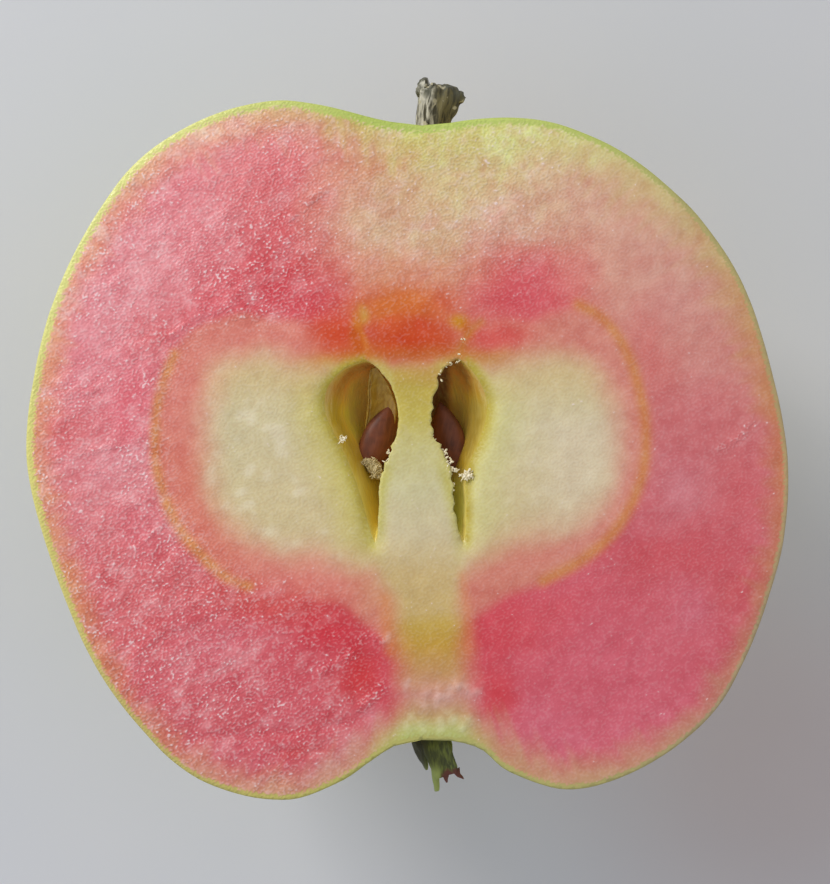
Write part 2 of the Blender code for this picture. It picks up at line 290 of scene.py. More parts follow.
def is_inside(points, loop):
    start, end = loop, np.roll(loop, -1, 0)
    rise = np.where(end[:, 1] == start[:, 1], TINY, end[:, 1] - start[:, 1])
    found = np.empty(len(points), bool)
    for first in range(0, len(points), CHUNK):
        p = points[first : first + CHUNK, None]
        crosses = (start[:, 1] > p[..., 1]) != (end[:, 1] > p[..., 1])
        edge_x = start[:, 0] + (p[..., 1] - start[:, 1]) / rise * (end[:, 0] - start[:, 0])
        found[first : first + CHUNK] = (crosses & (p[..., 0] < edge_x)).sum(1) % 2 == 1
    return found


def inside_distance(points, loop, reach=FAR):
    """Distance from each point to a closed line, positive inside it."""
    gap = segment_distance(points, loop, np.roll(loop, -1, 0), reach)
    return np.where(is_inside(points, loop), gap, -gap)


# The apple's skin.


def rib_dent(azimuth, height):
    towards_calyx = np.clip(height / RIB_HEIGHT, 0, 1) ** 2
    behind = np.clip(-np.sin(azimuth), 0, None) ** 0.5
    wave = (1 + np.cos(RIBS * (azimuth + math.pi / 2))) / 2
    return RIB_DEPTH * wave * towards_calyx * behind


def back_lift(azimuth, radius, height):
    behind = np.clip(-np.sin(azimuth), 0, None)
    return BACK_LIFT * behind * smoothstep(*BACK_LIFT_HEIGHTS, height) * smoothstep(*BACK_LIFT_RADII, radius)


def skin_place(right, left, azimuth):
    """(radius, height) on the skin at that azimuth, between a meridian's right and left sides."""
    share = ((1 + np.cos(azimuth)) / 2)[..., None]
    place = left + (right - left) * share
    radius, height = place[..., 0], place[..., 1]
    radius = radius - rib_dent(azimuth, height) * np.clip(radius / RIB_RADIUS, 0, 1)
    return radius, height + back_lift(azimuth, radius, height)


def cut_azimuth(right, left, low, high):
    """Where each open meridian ring meets the cut face, between two azimuths."""
    low, high = np.full(len(right), low), np.full(len(right), high)
    for _ in range(HALVINGS):
        middle = (low + high) / 2
        radius, _ = skin_place(right, left, middle)
        above = radius * np.sin(middle) > AXIS_DEPTH
        low, high = np.where(above, middle, low), np.where(above, high, middle)
    return (low + high) / 2


def meridian_stations():
    """Both meridians at even steps, with a station exactly where the cut face begins and ends."""
    right_side = [side for _, side, _ in MERIDIAN]
    left_side = [side for _, _, side in MERIDIAN]
    fine = np.linspace(0, len(MERIDIAN) - 1, MERIDIAN_SAMPLES)
    middle = (spline(right_side, fine) + spline(left_side, fine)) / 2
    run = np.concatenate([[0], np.cumsum(np.linalg.norm(np.diff(middle, axis=0), axis=1))])
    open_part = np.nonzero(middle[:, 0] > AXIS_DEPTH)[0]
    first, last = open_part[0], open_part[-1]
    spans = [(0, run[first]), (run[first], run[last]), (run[last], run[-1])]
    parts = [np.linspace(low, high, max(2, round((high - low) / SKIN_STEP) + 1)) for low, high in spans]
    lengths = np.concatenate([parts[0], parts[1][1:], parts[2][1:]])
    places = np.interp(lengths, run, fine)
    is_open = (lengths > run[first] + 1e-6) & (lengths < run[last] - 1e-6)
    return spline(right_side, places), spline(left_side, places), is_open


def skin_grid():
    """Skin points by meridian station and column. The first and last columns lie on the cut face's edge."""
    right, left, is_open = meridian_stations()
    quarter = math.pi / 2
    start = np.where(is_open, cut_azimuth(right, left, quarter, math.pi), quarter)
    end = 2 * math.pi + np.where(is_open, cut_azimuth(right, left, quarter, 0), quarter)
    share = np.linspace(0, 1, SKIN_COLUMNS + 1)
    azimuth = start[:, None] + (end - start)[:, None] * share
    radius, height = skin_place(right[:, None], left[:, None], azimuth)
    x = AXIS_X + radius * np.cos(azimuth)
    z = AXIS_Z + radius * np.sin(azimuth)
    grid = np.stack([x, height, above_table(z)], axis=2)
    return skin_relief(grid, is_open), azimuth, radius, is_open


def above_table(height):
    """Flattens what would lie below the table, with a soft edge round the flat spot."""
    low = (height + np.sqrt(height**2 + FLAT_SPOT_SOFTNESS**2)) / 2
    return np.where(height < FLAT_SPOT_REACH, low, height)


def skin_relief(grid, is_open):
    """Gentle unevenness along the skin's normal. The edge of the cut face stays level."""
    across = np.gradient(grid, axis=1)
    along = np.gradient(grid, axis=0)
    normal = np.cross(along, across)
    normal /= np.maximum(np.linalg.norm(normal, axis=2, keepdims=True), 1e-9)
    flat = grid.reshape(-1, 3)
    lumps = 0.22 * grain(flat, 9.0, 1) + 0.06 * grain(flat, 3.1, 2)
    lumps = lumps.reshape(grid.shape[:2]) * smoothstep(0.5, 4.0, grid[..., 2])
    lumps[~is_open] *= 0.3
    shifted = grid + normal * lumps[..., None]
    shifted[~is_open, -1] = shifted[~is_open, 0]
    for column in (0, -1):
        shifted[is_open, column, 2] = CUT_HEIGHT
    return shifted


# The cut face and the chambers.


def mouth_loop(mouth, seed):
    """A chamber's mouth with its torn edge, and how soft that edge is at each point."""
    loop = closed_spline(mouth, MOUTH_STEPS)
    edge, torn, soft = loop[:, :2], np.clip(loop[:, 2], 0, 1), np.clip(loop[:, 3], 0, 1)
    along = np.roll(edge, -1, 0) - np.roll(edge, 1, 0)
    normal = np.stack([along[:, 1], -along[:, 0]], 1) / np.linalg.norm(along, axis=1)[:, None]
    stray = 0.9 * grain(edge, 0.55, seed) + 0.8 * grain(edge, 0.26, seed + 1)
    return edge + normal * (TORN_SIZE * torn * stray)[:, None], soft


def rounded(loop):
    for _ in range(ROUNDING_PASSES):
        loop = (np.roll(loop, 1, 0) + 2 * loop + np.roll(loop, -1, 0)) / 4
    return loop


def chamber_levels(loop, soft, drop):
    """Rings below the mouth, down to a point on the chamber's floor. drop is how low the mouth lies."""
    middle = loop.mean(0)
    lean = math.copysign(CHAMBER_LEAN, AXIS_X - middle[0])
    calmer = rounded(loop)
    gentle = CHAMBER_SLOPE * rounded(soft)
    rings = []
    for level in range(1, CHAMBER_LEVELS + 1):
        share = math.sin(level / CHAMBER_LEVELS * math.pi / 2)
        depth = share * CHAMBER_DEPTH
        size = max(0, 1 - share**CHAMBER_ROUNDNESS) ** (1 / CHAMBER_ROUNDNESS)
        calm = smoothstep(0, CHAMBER_CALM_REACH, share)
        slope = 1 - gentle * (1 - math.exp(-share / CHAMBER_SLOPE_REACH))
        reach = (1 - calm) * loop + calm * calmer - middle
        ring = middle + (lean * depth, 0) + reach * (size * slope)[:, None]
        depths = depth * (1 + 0.06 * grain(ring, 1.6, 41)) + drop * (1 - share)
        rings.append(np.column_stack([ring, CUT_HEIGHT - depths]))
    rings[-1] = rings[-1][:1]
    return rings


def face_points(outline, mouths, random):
    """Jittered points inside the cut face, clear of its edges."""
    low, high = outline.min(0), outline.max(0)
    xs = np.arange(low[0], high[0], FACE_STEP)
    ys = np.arange(low[1], high[1], FACE_STEP * math.sqrt(3) / 2)
    x, y = np.meshgrid(xs, ys)
    x[1::2] += FACE_STEP / 2
    points = np.column_stack([x.ravel(), y.ravel()])
    points += random.uniform(-FACE_JITTER, FACE_JITTER, points.shape) * FACE_STEP
    keep = inside_distance(points, outline) > FACE_STEP * 0.55
    for mouth in mouths:
        keep &= inside_distance(points, mouth, 1.0) < -FACE_STEP * 0.45
    return points[keep]


def fill_face(outline, mouths, inner):
    """Triangles between the outline and the mouths, as indices into outline + mouths + inner points."""
    loops = [outline, *mouths]
    points = np.vstack([*loops, inner])
    edges, first = [], 0
    for loop in loops:
        count = len(loop)
        edges += [(first + i, first + (i + 1) % count) for i in range(count)]
        first += count
    made = delaunay_2d_cdt([Vector(p) for p in points], edges, [], 0, 1e-7)
    original = np.array([source[0] for source in made[3]])
    triangles = original[np.array(made[2])]
    centre = points[triangles].mean(1)
    keep = is_inside(centre, outline)
    for mouth in mouths:
        keep &= ~is_inside(centre, mouth)
    triangles = triangles[keep]
    a, b, c = (points[triangles[:, k]] for k in range(3))
    side = (b - a)[:, 0] * (c - a)[:, 1] - (b - a)[:, 1] * (c - a)[:, 0]
    triangles[side < 0] = triangles[side < 0][:, ::-1]
    return points, triangles


class Face:
    """Points of the cut face, how far each lies inside its outlines, and how rough and wet it is there."""

    def __init__(self, points, outline, mouths):
        self.points = points
        self.rim = inside_distance(points, outline)
        self.core = inside_distance(points, closed_spline(CORE_LINE, ZONE_STEPS))
        self.mouth = np.max([inside_distance(points, loop, MOUTH_REACH) for loop in mouths], axis=0)
        self.soft = np.zeros(len(points))
        self.rough = self.roughness()
        self.wet = self.wetness()

    def soften(self, loops):
        """Gives each point near a mouth the softness of the nearest point of its edge."""
        close = self.mouth > -SLOPE_REACH
        edge = np.vstack([loop for loop, _ in loops])
        soft = np.concatenate([soft for _, soft in loops])
        gaps = np.linalg.norm(self.points[close][:, None] - edge, axis=2)
        self.soft[close] = soft[gaps.argmin(1)]

    def roughness(self):
        """How rough the cut is: most at the left, least at the lower right and inside the core."""
        x, y = self.points.T
        left = smoothstep(2, -16, x) * (0.75 + 0.35 * grain(self.points, 5.0, 20))
        above = 0.5 * smoothstep(8, 22, y) * smoothstep(26, 10, x)
        return 0.12 + np.maximum(left, above) * (1 - 0.85 * smoothstep(-1, 3, self.core))

    def wetness(self):
        """Where the face glistens: on its rough parts and along the tears."""
        wet = self.rough
        for line, width, rise in TEARS:
            if rise > 0:
                gap = line_distance(self.points, line) / (1.6 * width)
                wet = np.maximum(wet, 8 * rise * bell(gap))
        return np.clip(wet, 0, 1)


def face_relief(face):
    """Height of the cut face: cells, tears and the knife's waves. It fades out at every edge."""
    points, rim, mouth, wet = face.points, face.rim, face.mouth, face.wet
    waves = 0.11 * grain(points, 7.0, 11) + 0.05 * grain(points, 2.6, 12)
    ridges = np.clip(1 - np.abs(grain(slanted(points, 4.5), 1.5, 13)) - 0.62, 0, None) / 0.38
    ridges *= smoothstep(-0.2, 0.5, grain(points, 4.0, 19))
    cells = (0.018 + 0.025 * wet) * grain(points, 0.55, 14) + (0.03 + 0.03 * wet) * grain(points, 1.2, 15)
    height = waves + 0.10 * ridges * wet**2 + cells
    height *= 1 - 0.5 * smoothstep(-1, 3, face.core)
    for line, width, rise in TEARS:
        gap = line_distance(points, line) * (1 + 0.35 * grain(points, 0.7, 16))
        height += 0.55 * rise * bell(gap / width) * (1 + 0.9 * grain(points, 0.5, 17))
    for line, width, rise in PALE_STREAKS:
        gap = line_distance(points, line) * (1 + 0.4 * grain(points, 0.5, 18))
        height += rise * bell(gap / width) * (1 + grain(points, 0.6, 32))
    slope = SLOPE_DROP * np.clip(1 + mouth / SLOPE_REACH, 0, 1) ** 2 * face.soft
    return height * smoothstep(0, 0.9, rim) * smoothstep(0, 0.5, -mouth) - slope


# Colours of the cut face.

CORE_LINE = (
    (-21.6, 10.4), (-24.2, 6.6), (-25.2, 1.0), (-24.9, -3.2), (-23.4, -7.6), (-20.6, -11.6),
    (-16.6, -14.4), (-11.5, -15.2), (-6.4, -16.2), (-2.8, -19.0), (1.4, -21.0), (5.8, -18.4),
    (9.6, -15.6), (14.0, -13.9), (18.6, -11.3), (21.8, -7.4), (23.6, -2.6), (23.8, 3.0), (22.2, 8.4),
    (19.4, 12.2), (15.2, 13.8), (9.6, 12.2), (5.8, 12.4), (1.5, 12.8), (-3.6, 12.4), (-8.4, 12.6),
    (-13.4, 13.0), (-18.0, 12.6),
)
WHITE_CORE = (
    (-20.2, 0.0), (-19.4, 4.8), (-17.2, 7.7), (-14.0, 8.4), (-10.6, 7.2), (-6.6, 6.4), (-2.2, 6.4),
    (1.6, 6.2), (5.0, 6.3), (9.0, 7.0), (12.6, 7.8), (16.2, 7.9), (19.0, 6.0), (20.3, 2.6), (20.6, -2.0),
    (19.4, -5.4), (16.2, -7.6), (13.0, -9.0), (8.6, -10.2), (5.8, -12.2), (1.5, -15.0), (-3.4, -12.2),
    (-7.4, -11.4), (-12.4, -10.6), (-16.2, -9.0), (-19.2, -5.4),
)
COLUMN = (
    (-1.2, 7.6), (-0.9, 2.0), (-1.9, -2.0), (-2.7, -5.0), (-2.9, -9.0), (-2.6, -13.0), (-1.6, -17.0),
    (-0.9, -21.0), (-0.6, -24.5), (-1.4, -28.5), (-2.6, -33.0), (7.4, -33.0), (6.2, -28.5), (6.0, -25.0),
    (5.9, -21.5), (5.7, -18.0), (5.3, -14.3), (5.6, -10.0), (4.7, -5.0), (3.2, -0.5), (2.5, 3.0), (3.3, 7.4),
)
COLUMN_TONES = (
    # height along the core, colour
    (-30.4, (172, 182, 100)), (-28.8, (181, 182, 116)), (-27.2, (183, 150, 106)), (-25.2, (194, 140, 122)),
    (-22.8, (190, 146, 98)), (-20.4, (187, 150, 72)), (-18.4, (190, 160, 84)), (-17.2, (194, 168, 112)),
    (-13.4, (194, 170, 120)), (-9.0, (201, 188, 150)), (-5.0, (199, 192, 148)), (-1.0, (196, 188, 128)),
    (2.0, (188, 174, 92)), (5.0, (182, 162, 82)), (7.6, (190, 148, 88)),
)

# The outer flesh, going round from the stem: place, colour.
BROAD_TONES = (
    ((-3, 26), (202, 158, 116)), ((7, 26), (208, 197, 142)), ((17, 23), (208, 167, 140)),
    ((27, 18), (202, 150, 132)), ((32, 7), (199, 134, 124)), ((31, -4), (199, 112, 116)),
    ((28, -14), (198, 98, 106)), ((20, -23), (201, 101, 113)), ((12, -29), (201, 101, 113)),
    ((8, -21), (200, 90, 98)), ((-6, -22), (199, 84, 92)), ((-12, -30), (202, 103, 110)),
    ((-21, -24), (204, 102, 109)), ((-28, -15), (208, 110, 112)), ((-31, -4), (214, 132, 135)),
    ((-31, 9), (219, 132, 138)), ((-24, 20), (219, 133, 138)), ((-13, 28), (221, 132, 134)),
    ((-10, 15), (209, 106, 110)), ((11, 15), (206, 112, 110)),
)
BROAD_REACH = 7.5  # how far each of them reaches
RIM_RADIUS = 36  # how far the rim lies from the middle
GLOSS = 0.035  # the white sheen that the moist face adds, which its paint leaves out
# Patches: colour, centre, radii and strength, and where they aren't the usual ones, turn and crispness.
PATCHES = (
    ((206, 82, 89), (-13.2, 15.4), (7.4, 3.6), 1.0, 12, 1.3),  # deep red above the core, left
    ((208, 100, 104), (-12.8, 20.8), (4.4, 4.2), 0.85, -20),
    ((213, 108, 113), (-20.4, 13.2), (5.4, 2.8), 0.8, 24),
    ((221, 150, 152), (-25.8, 16.8), (5.0, 4.2), 0.6, 40),
    ((221, 150, 154), (-29.0, 12.4), (4.0, 2.6), 0.6, 30),
    ((212, 116, 117), (-25.2, 10.6), (3.0, 2.4), 0.7, 30),
    ((213, 112, 112), (-34.2, 0.2), (2.4, 2.4), 0.7),
    ((213, 116, 116), (-34.4, -5.6), (2.2, 2.0), 0.5),
    ((221, 148, 154), (-29.0, -2.0), (3.6, 2.0), 0.5, 10),
    ((218, 120, 124), (-12.4, 27.4), (4.2, 3.0), 0.7),
    ((210, 134, 124), (-8.6, 21.8), (2.6, 3.6), 0.85, -20, 1.2),
    ((214, 106, 116), (-27.4, 2.8), (1.8, 4.0), 0.75),
    ((212, 110, 118), (-26.8, -9.0), (2.2, 3.4), 0.6, 20),
    ((211, 172, 147), (9.4, 21.2), (4.6, 2.8), 0.8, 0, 1.2),
    ((206, 170, 138), (-1.5, 21.0), (5.6, 4.6), 0.85, 0, 1.4),  # beige above the core
    ((206, 93, 99), (11.8, 15.2), (6.0, 3.9), 1.0, -4, 1.5),  # deep red above the core, right
    ((208, 124, 116), (17.0, 17.2), (3.0, 2.0), 0.5),
    ((206, 158, 140), (21.0, 21.0), (6.0, 3.0), 0.5, -30),
    ((203, 140, 134), (25.5, 13.5), (4.0, 4.0), 0.5),
    ((199, 108, 104), (24.0, 8.6), (2.4, 5.6), 0.75, 14),
    ((199, 112, 115), (29.0, 2.0), (5.0, 4.4), 0.6),
    ((204, 134, 140), (27.4, -5.2), (2.6, 2.6), 0.5),
    ((197, 96, 100), (33.4, -5.0), (2.8, 5.0), 0.7),
    ((195, 88, 94), (25.8, -11.8), (6.6, 3.0), 0.9, 6, 1.2),
    ((202, 116, 128), (28.6, -17.4), (2.6, 2.2), 0.5),
    ((196, 96, 98), (33.0, -15.0), (2.2, 2.4), 0.7),
    ((200, 76, 84), (9.6, -18.8), (4.2, 3.6), 0.85, 10, 1.4),  # deep red by the column, right
    ((199, 74, 80), (9.4, -25.6), (2.0, 3.0), 0.85, 10, 1.4),
    ((202, 90, 98), (14.6, -16.8), (5.4, 2.4), 0.7, 20, 1.2),
    ((205, 112, 126), (14.0, -29.0), (4.0, 2.4), 0.5),
    ((202, 126, 130), (6.6, -25.8), (1.5, 1.1), 0.6, 0, 1.2),
    ((202, 124, 122), (7.2, -28.8), (2.0, 1.4), 0.8, -20, 1.2),
    ((198, 84, 84), (-14.0, -16.4), (6.2, 1.7), 0.9, -8, 1.2),
    ((198, 66, 74), (-8.2, -17.9), (3.6, 2.8), 1.0, -34, 1.3),  # deep red by the column, left
    ((196, 68, 70), (-5.0, -23.8), (2.2, 3.3), 0.95, -12, 1.2),
    ((207, 118, 126), (-19.4, -20.6), (3.0, 2.2), 0.5, 30),
    ((198, 98, 102), (-19.0, -28.2), (4.6, 2.2), 0.65, 6, 1.2),
    ((198, 96, 100), (-22.8, -25.2), (2.4, 1.6), 0.5),
    ((199, 88, 94), (-10.6, -28.8), (6.2, 0.9), 0.75, 4, 1.3),
    ((199, 88, 88), (-10.0, -30.7), (2.8, 0.8), 0.7, 6, 1.2),
    ((208, 142, 140), (-6.8, -32.0), (3.4, 1.6), 0.85, 32, 1.3),
    ((206, 128, 132), (-3.4, -28.4), (1.4, 1.8), 0.7),
)
# What lies between the deep flesh and the white core, in the same form as the patches.
RING_PATCHES = (
    ((203, 98, 94), (-14.0, -15.2), (6.8, 1.6), 0.85, -8, 1.2),
    ((200, 146, 112), (-3.6, -15.4), (1.6, 2.2), 0.6),
    ((205, 86, 92), (-9.4, 13.4), (4.0, 2.2), 0.9, -10, 1.3),
    ((207, 138, 110), (0.4, 16.6), (7.0, 2.4), 0.8, 0, 1.3),
    ((203, 112, 62), (-0.8, 13.0), (6.0, 2.6), 1.0, 0, 1.6),
    ((184, 108, 52), (0.4, 8.6), (8.4, 1.4), 0.9, 0, 1.5),
    ((204, 92, 66), (3.4, 13.8), (1.8, 1.5), 0.5, 0, 1.2),
    ((190, 130, 62), (-7.0, 8.0), (3.4, 0.9), 0.9, 8, 1.2),
    ((190, 130, 74), (7.4, 8.1), (3.2, 1.0), 0.9, 6, 1.2),
    ((199, 80, 54), (-7.0, 10.4), (3.4, 1.9), 0.95, -8, 1.4),
    ((205, 92, 86), (9.0, 10.5), (3.6, 1.6), 0.95, 8, 1.4),
    ((195, 83, 52), (-0.8, 10.1), (3.3, 1.9), 0.95, 8, 1.4),
    ((196, 84, 54), (2.0, 10.2), (3.0, 2.0), 0.9, -6, 1.4),
    ((192, 66, 42), (1.2, 9.7), (2.8, 0.5), 0.35, 4, 1.2),
    ((205, 92, 60), (-1.8, 11.6), (1.3, 0.6), 0.6, 30, 1.2),
    ((206, 88, 66), (1.4, 11.0), (0.6, 0.9), 0.5, 10, 1.2),
    ((186, 88, 32), (-4.7, 9.8), (0.7, 1.5), 0.9, 14, 1.3),
    ((200, 124, 56), (-4.9, 11.6), (0.8, 0.9), 0.8, 14, 1.2),
    ((204, 160, 84), (-4.5, 12.5), (0.6, 1.2), 0.8, 20, 1.2),
    ((196, 136, 46), (5.3, 11.5), (1.2, 0.9), 0.9, 0, 1.4),
    ((186, 84, 40), (6.2, 10.5), (0.6, 0.9), 0.7, 30, 1.4),
)
# Fine lines, as (points, colour, width, strength).
LINES = (
    (
        ((-23.2, 8.6), (-24.6, 5.0), (-25.1, 0.0), (-24.7, -4.0), (-23.4, -7.8), (-21.0, -11.0),
         (-18.2, -13.6), (-15.8, -14.6)),
        (205, 142, 84), 0.55, 0.75,
    ),
    (
        ((17.2, 13.6), (19.0, 12.6), (20.8, 10.8), (22.4, 7.8), (23.5, 4.0), (24.0, 0.0), (23.4, -4.0),
         (22.0, -7.2), (19.8, -10.2), (16.8, -12.4), (13.6, -14.0)),
        (196, 128, 72), 0.60, 0.75,
    ),
    (((5.6, -13.6), (6.0, -17.0), (6.2, -21.0)), (202, 118, 82), 0.50, 0.4),
    (((-2.2, -16.0), (-1.9, -18.4), (-1.6, -21.0)), (203, 122, 70), 0.70, 0.45),
    (((-5.2, 12.6), (-4.7, 11.2), (-4.1, 9.8), (-3.8, 8.4)), (202, 120, 60), 0.30, 0.7),
    (((7.4, 11.8), (6.0, 10.4), (5.6, 9.4), (5.3, 8.2)), (190, 130, 66), 0.45, 0.6),
    (((-9.6, 22.8), (-8.4, 24.2)), (202, 104, 92), 0.8, 0.5),
)
# The skin's cut edge and the paler flesh behind it, by bearing: edge, its width, band, its width.
# The edge colours are partly the skin's own and partly painted light and shade: light at the upper left,
# which faces the window, dark olive at the right and bottom.
RIM_TONES = (
    (0, (168, 144, 98), 0.45, (190, 120, 86), 2.4), (40, (164, 156, 98), 0.50, (190, 170, 118), 4.5),
    (57, (170, 178, 94), 0.55, (202, 190, 130), 5.2), (75, (175, 189, 98), 0.70, (203, 206, 122), 5.5),
    (98, (164, 180, 86), 0.80, (198, 186, 112), 4.0), (122, (207, 208, 126), 0.70, (223, 178, 142), 4.2),
    (155, (207, 206, 126), 0.70, (221, 154, 122), 3.0), (190, (200, 192, 108), 0.70, (209, 146, 98), 3.2),
    (225, (180, 164, 92), 0.50, (198, 127, 98), 3.0), (256, (174, 168, 88), 0.50, (195, 148, 120), 3.4),
    (284, (166, 162, 94), 0.50, (188, 148, 110), 3.6), (298, (164, 156, 94), 0.50, (188, 148, 114), 3.8),
    (320, (158, 140, 104), 0.40, (182, 126, 106), 2.4),
)


def patch(points, centre, radii, turn=0, crispness=1.0):
    """A soft oval mask."""
    angle = math.radians(turn)
    x, y = (points - centre).T
    u = (x * math.cos(angle) + y * math.sin(angle)) / radii[0]
    v = (-x * math.sin(angle) + y * math.cos(angle)) / radii[1]
    return np.exp(-((u * u + v * v) ** crispness))


def blend(colour, tone, mask):
    return colour + (tone - colour) * np.clip(mask, 0, 1)[:, None]


def lay(colour, tint, mask):
    """The colour with a tint laid over it where the mask is 1."""
    return blend(colour, seen(*tint), mask)


def lay_all(colour, layers):
    for tint, mask in layers:
        colour = lay(colour, tint, mask)
    return colour


def lay_patches(colour, patches, points):
    for tint, centre, radii, strength, *form in patches:
        colour = lay(colour, tint, strength * patch(points, centre, radii, *form))
    return colour


def broad_tone(points):
    """The outer flesh's colour, blended between the broad tones."""
    total, weights = np.zeros((len(points), 3)), np.zeros((len(points), 1))
    for place, tint in BROAD_TONES:
        weight = np.exp(-(((points - place) ** 2).sum(1) / BROAD_REACH**2))[:, None] + 1e-9
        total += weight * seen(*tint)
        weights += weight
    return total / weights


def by_bearing(points):
    """(edge colour with its painted light and shade, edge width, band colour, band width) of the rim at each
    point.
    """
    bearing = np.degrees(np.arctan2(points[:, 1], points[:, 0]))
    marks = [mark for mark, *_ in RIM_TONES]
    rows = np.array([[*seen(*edge), width, *seen(*band), reach] for _, edge, width, band, reach in RIM_TONES])
    found = np.column_stack([np.interp(bearing, marks, column, period=360) for column in rows.T])
    return found[:, :3], found[:, 3], found[:, 4:7], found[:, 7]


def lay_band(colour, face, drift):
    """The paler flesh behind the skin, with streaks across it."""
    x, y = face.points.T
    _, _, band, band_width = by_bearing(face.points)
    streaks = grain(np.column_stack([np.arctan2(y, x) * RIM_RADIUS / 0.55, face.rim / 3.2]), 1.0, 27)
    spread = face.rim * (1 + 0.3 * streaks) + 0.5 * drift[:, 0]
    colour = blend(colour, band, 0.95 * smoothstep(1.25, 0.0, spread / band_width))
    pale = smoothstep(0.1, 0.9, streaks) * smoothstep(4.5, 0.8, face.rim) * smoothstep(-6, 10, y)
    return lay(colour, (228, 204, 180), 0.45 * pale * smoothstep(16, 4, x))


def lay_ring(colour, face, drift):
    """The pink ring inside the core line, and the flesh between it and the white core."""
    x, y = face.points.T
    below = smoothstep(10.8, 8.6, y - 0.16 * np.abs(x + 1) + 0.8 * drift[:, 0])
    ring = smoothstep(-0.8, 0.8, face.core + 0.3 * drift[:, 1]) * below
    layers = (
        ((203, 128, 112), ring),
        ((211, 132, 118), ring * smoothstep(6, -10, x)),
        ((207, 118, 98), 0.5 * ring * smoothstep(-13, -19, x) * smoothstep(2, -4, y)),
        ((206, 140, 126), 0.6 * ring * smoothstep(10, 20, x)),
    )
    return lay_patches(lay_all(colour, layers), RING_PATCHES, face.points + 0.5 * drift)


def lay_white_core(colour, face, drift):
    """The white core, yellow-green round the chambers. Also gives how much of it each point has."""
    points = face.points
    x, y = points.T
    inside = inside_distance(points, closed_spline(WHITE_CORE, ZONE_STEPS)) + 0.5 * drift[:, 0]
    haze = 2.4 + 0.5 * smoothstep(-4, -8, y)
    white = smoothstep(-haze, haze, inside) * (1 - 0.85 * patch(points, (0.5, 8.8), (11.0, 2.0), 0, 1.4))
    near = -face.mouth + 0.4 * drift[:, 1]
    flecks = smoothstep(0.1, 0.8, grain(slanted(points, 1.5), 0.9, 34) + 0.4 * grain(points, 2.4, 37))
    layers = (
        ((202, 190, 150), white),
        ((200, 180, 134), 0.6 * white * smoothstep(2, -10, y)),
        ((209, 192, 166), 0.6 * white * smoothstep(11, 17, x) * smoothstep(5, 0, y)),
        ((222, 212, 184), 0.45 * white * flecks * (0.4 + 0.6 * smoothstep(4, -10, x))),
        ((192, 180, 98), 0.85 * white * smoothstep(5.5, 0.2, near) * smoothstep(1, -3, x)),
        ((202, 197, 132), 0.85 * white * smoothstep(5.6, 0.2, near) * smoothstep(3, 6, x)),
        ((199, 174, 122), 0.7 * white * smoothstep(2.0, 7.5, y) * (np.abs(x) > 2)),
        ((188, 178, 92), 0.8 * smoothstep(1.4, 0.1, near) * smoothstep(9, 7, y)),
        ((174, 156, 62), 0.85 * smoothstep(1.0, 0.0, -face.mouth) * np.maximum(x < -4, x > 6)),
    )
    return lay_all(colour, layers), white


def lay_column(colour, points, drift):
    """The pale column in the middle of the core. Also gives how far each point lies inside it."""
    y = points[:, 1]
    ragged = 0.1 + 0.5 * smoothstep(-12, -18, y)
    inside = inside_distance(points, closed_spline(COLUMN, ZONE_STEPS)) + ragged * drift[:, 0]
    marks = [mark for mark, _ in COLUMN_TONES]
    tones = np.array([seen(*tint) for _, tint in COLUMN_TONES])
    tone = np.column_stack([np.interp(y + 0.5 * drift[:, 1], marks, channel) for channel in tones.T])
    softness = 0.35 + 1.5 * smoothstep(-10, -17, y)
    colour = blend(colour, tone, smoothstep(-softness, softness, inside) * smoothstep(8.4, 6.6, y))
    green = smoothstep(1.5, 0.2, inside) * smoothstep(-0.2, 0.2, inside) * smoothstep(-1, -4, y)
    return lay(colour, (184, 176, 88), 0.75 * green * smoothstep(-13, -8, y)), inside


def lay_lines(colour, points, drift):
    """The core line and other fine lines, and the pale loose tissue by the calyx."""
    for line, tint, width, strength in LINES:
        colour = lay(colour, tint, strength * bell(line_distance(points + 0.12 * drift, line) / width))
    ragged = points + 0.22 * grain_shift(points, 0.5, 35)
    broken = 0.42 * smoothstep(-0.7, 0.5, grain(points, 0.6, 38))
    for line, width, _ in PALE_STREAKS:
        tint = (216, 182, 170) if line[0][1] > GREENISH_HEIGHT else (208, 206, 164)
        colour = lay(colour, tint, broken * bell(line_distance(ragged, line) / width))
    return colour


def face_paint(face):
    """The cut face's colour, from the skin's edge inward to the core and its column."""
    points = face.points
    drift = grain_shift(points, 4.0, 23) + 0.5 * grain_shift(points, 1.6, 25)
    wander = points + 0.9 * drift
    colour = lay_patches(broad_tone(wander), PATCHES, wander)
    colour = lay_band(colour, face, drift)
    colour = lay_ring(colour, face, drift)
    colour, white = lay_white_core(colour, face, drift)
    colour, column = lay_column(colour, points, drift)
    colour = lay_lines(colour, points, drift)

    clouds = 0.6 * grain(slanted(points, 1.8), 1.3, 30) + 0.6 * grain(slanted(points, 1.5), 0.6, 33)
    clouds = smoothstep(-0.1, 0.8, clouds) * smoothstep(0.2, 0.8, face.rough)
    colour = lay(colour, (230, 176, 176), 0.30 * clouds)
    mottle = 0.4 * grain(points, 3.4, 21) + 0.6 * grain(points, 1.5, 22) + 0.9 * grain(points, 0.8, 29)
    mottle *= 0.8 + 0.5 * face.wet
    pink = 1 - 0.9 * np.maximum(white, smoothstep(-1.5, 1.5, column))[:, None]
    colour = colour * (1 + (0.06 * mottle)[:, None] * (1 + (0, 1.8, 1.6) * pink)) - GLOSS
    return np.clip(colour, DARKEST, LIGHTEST)


# Meshes.


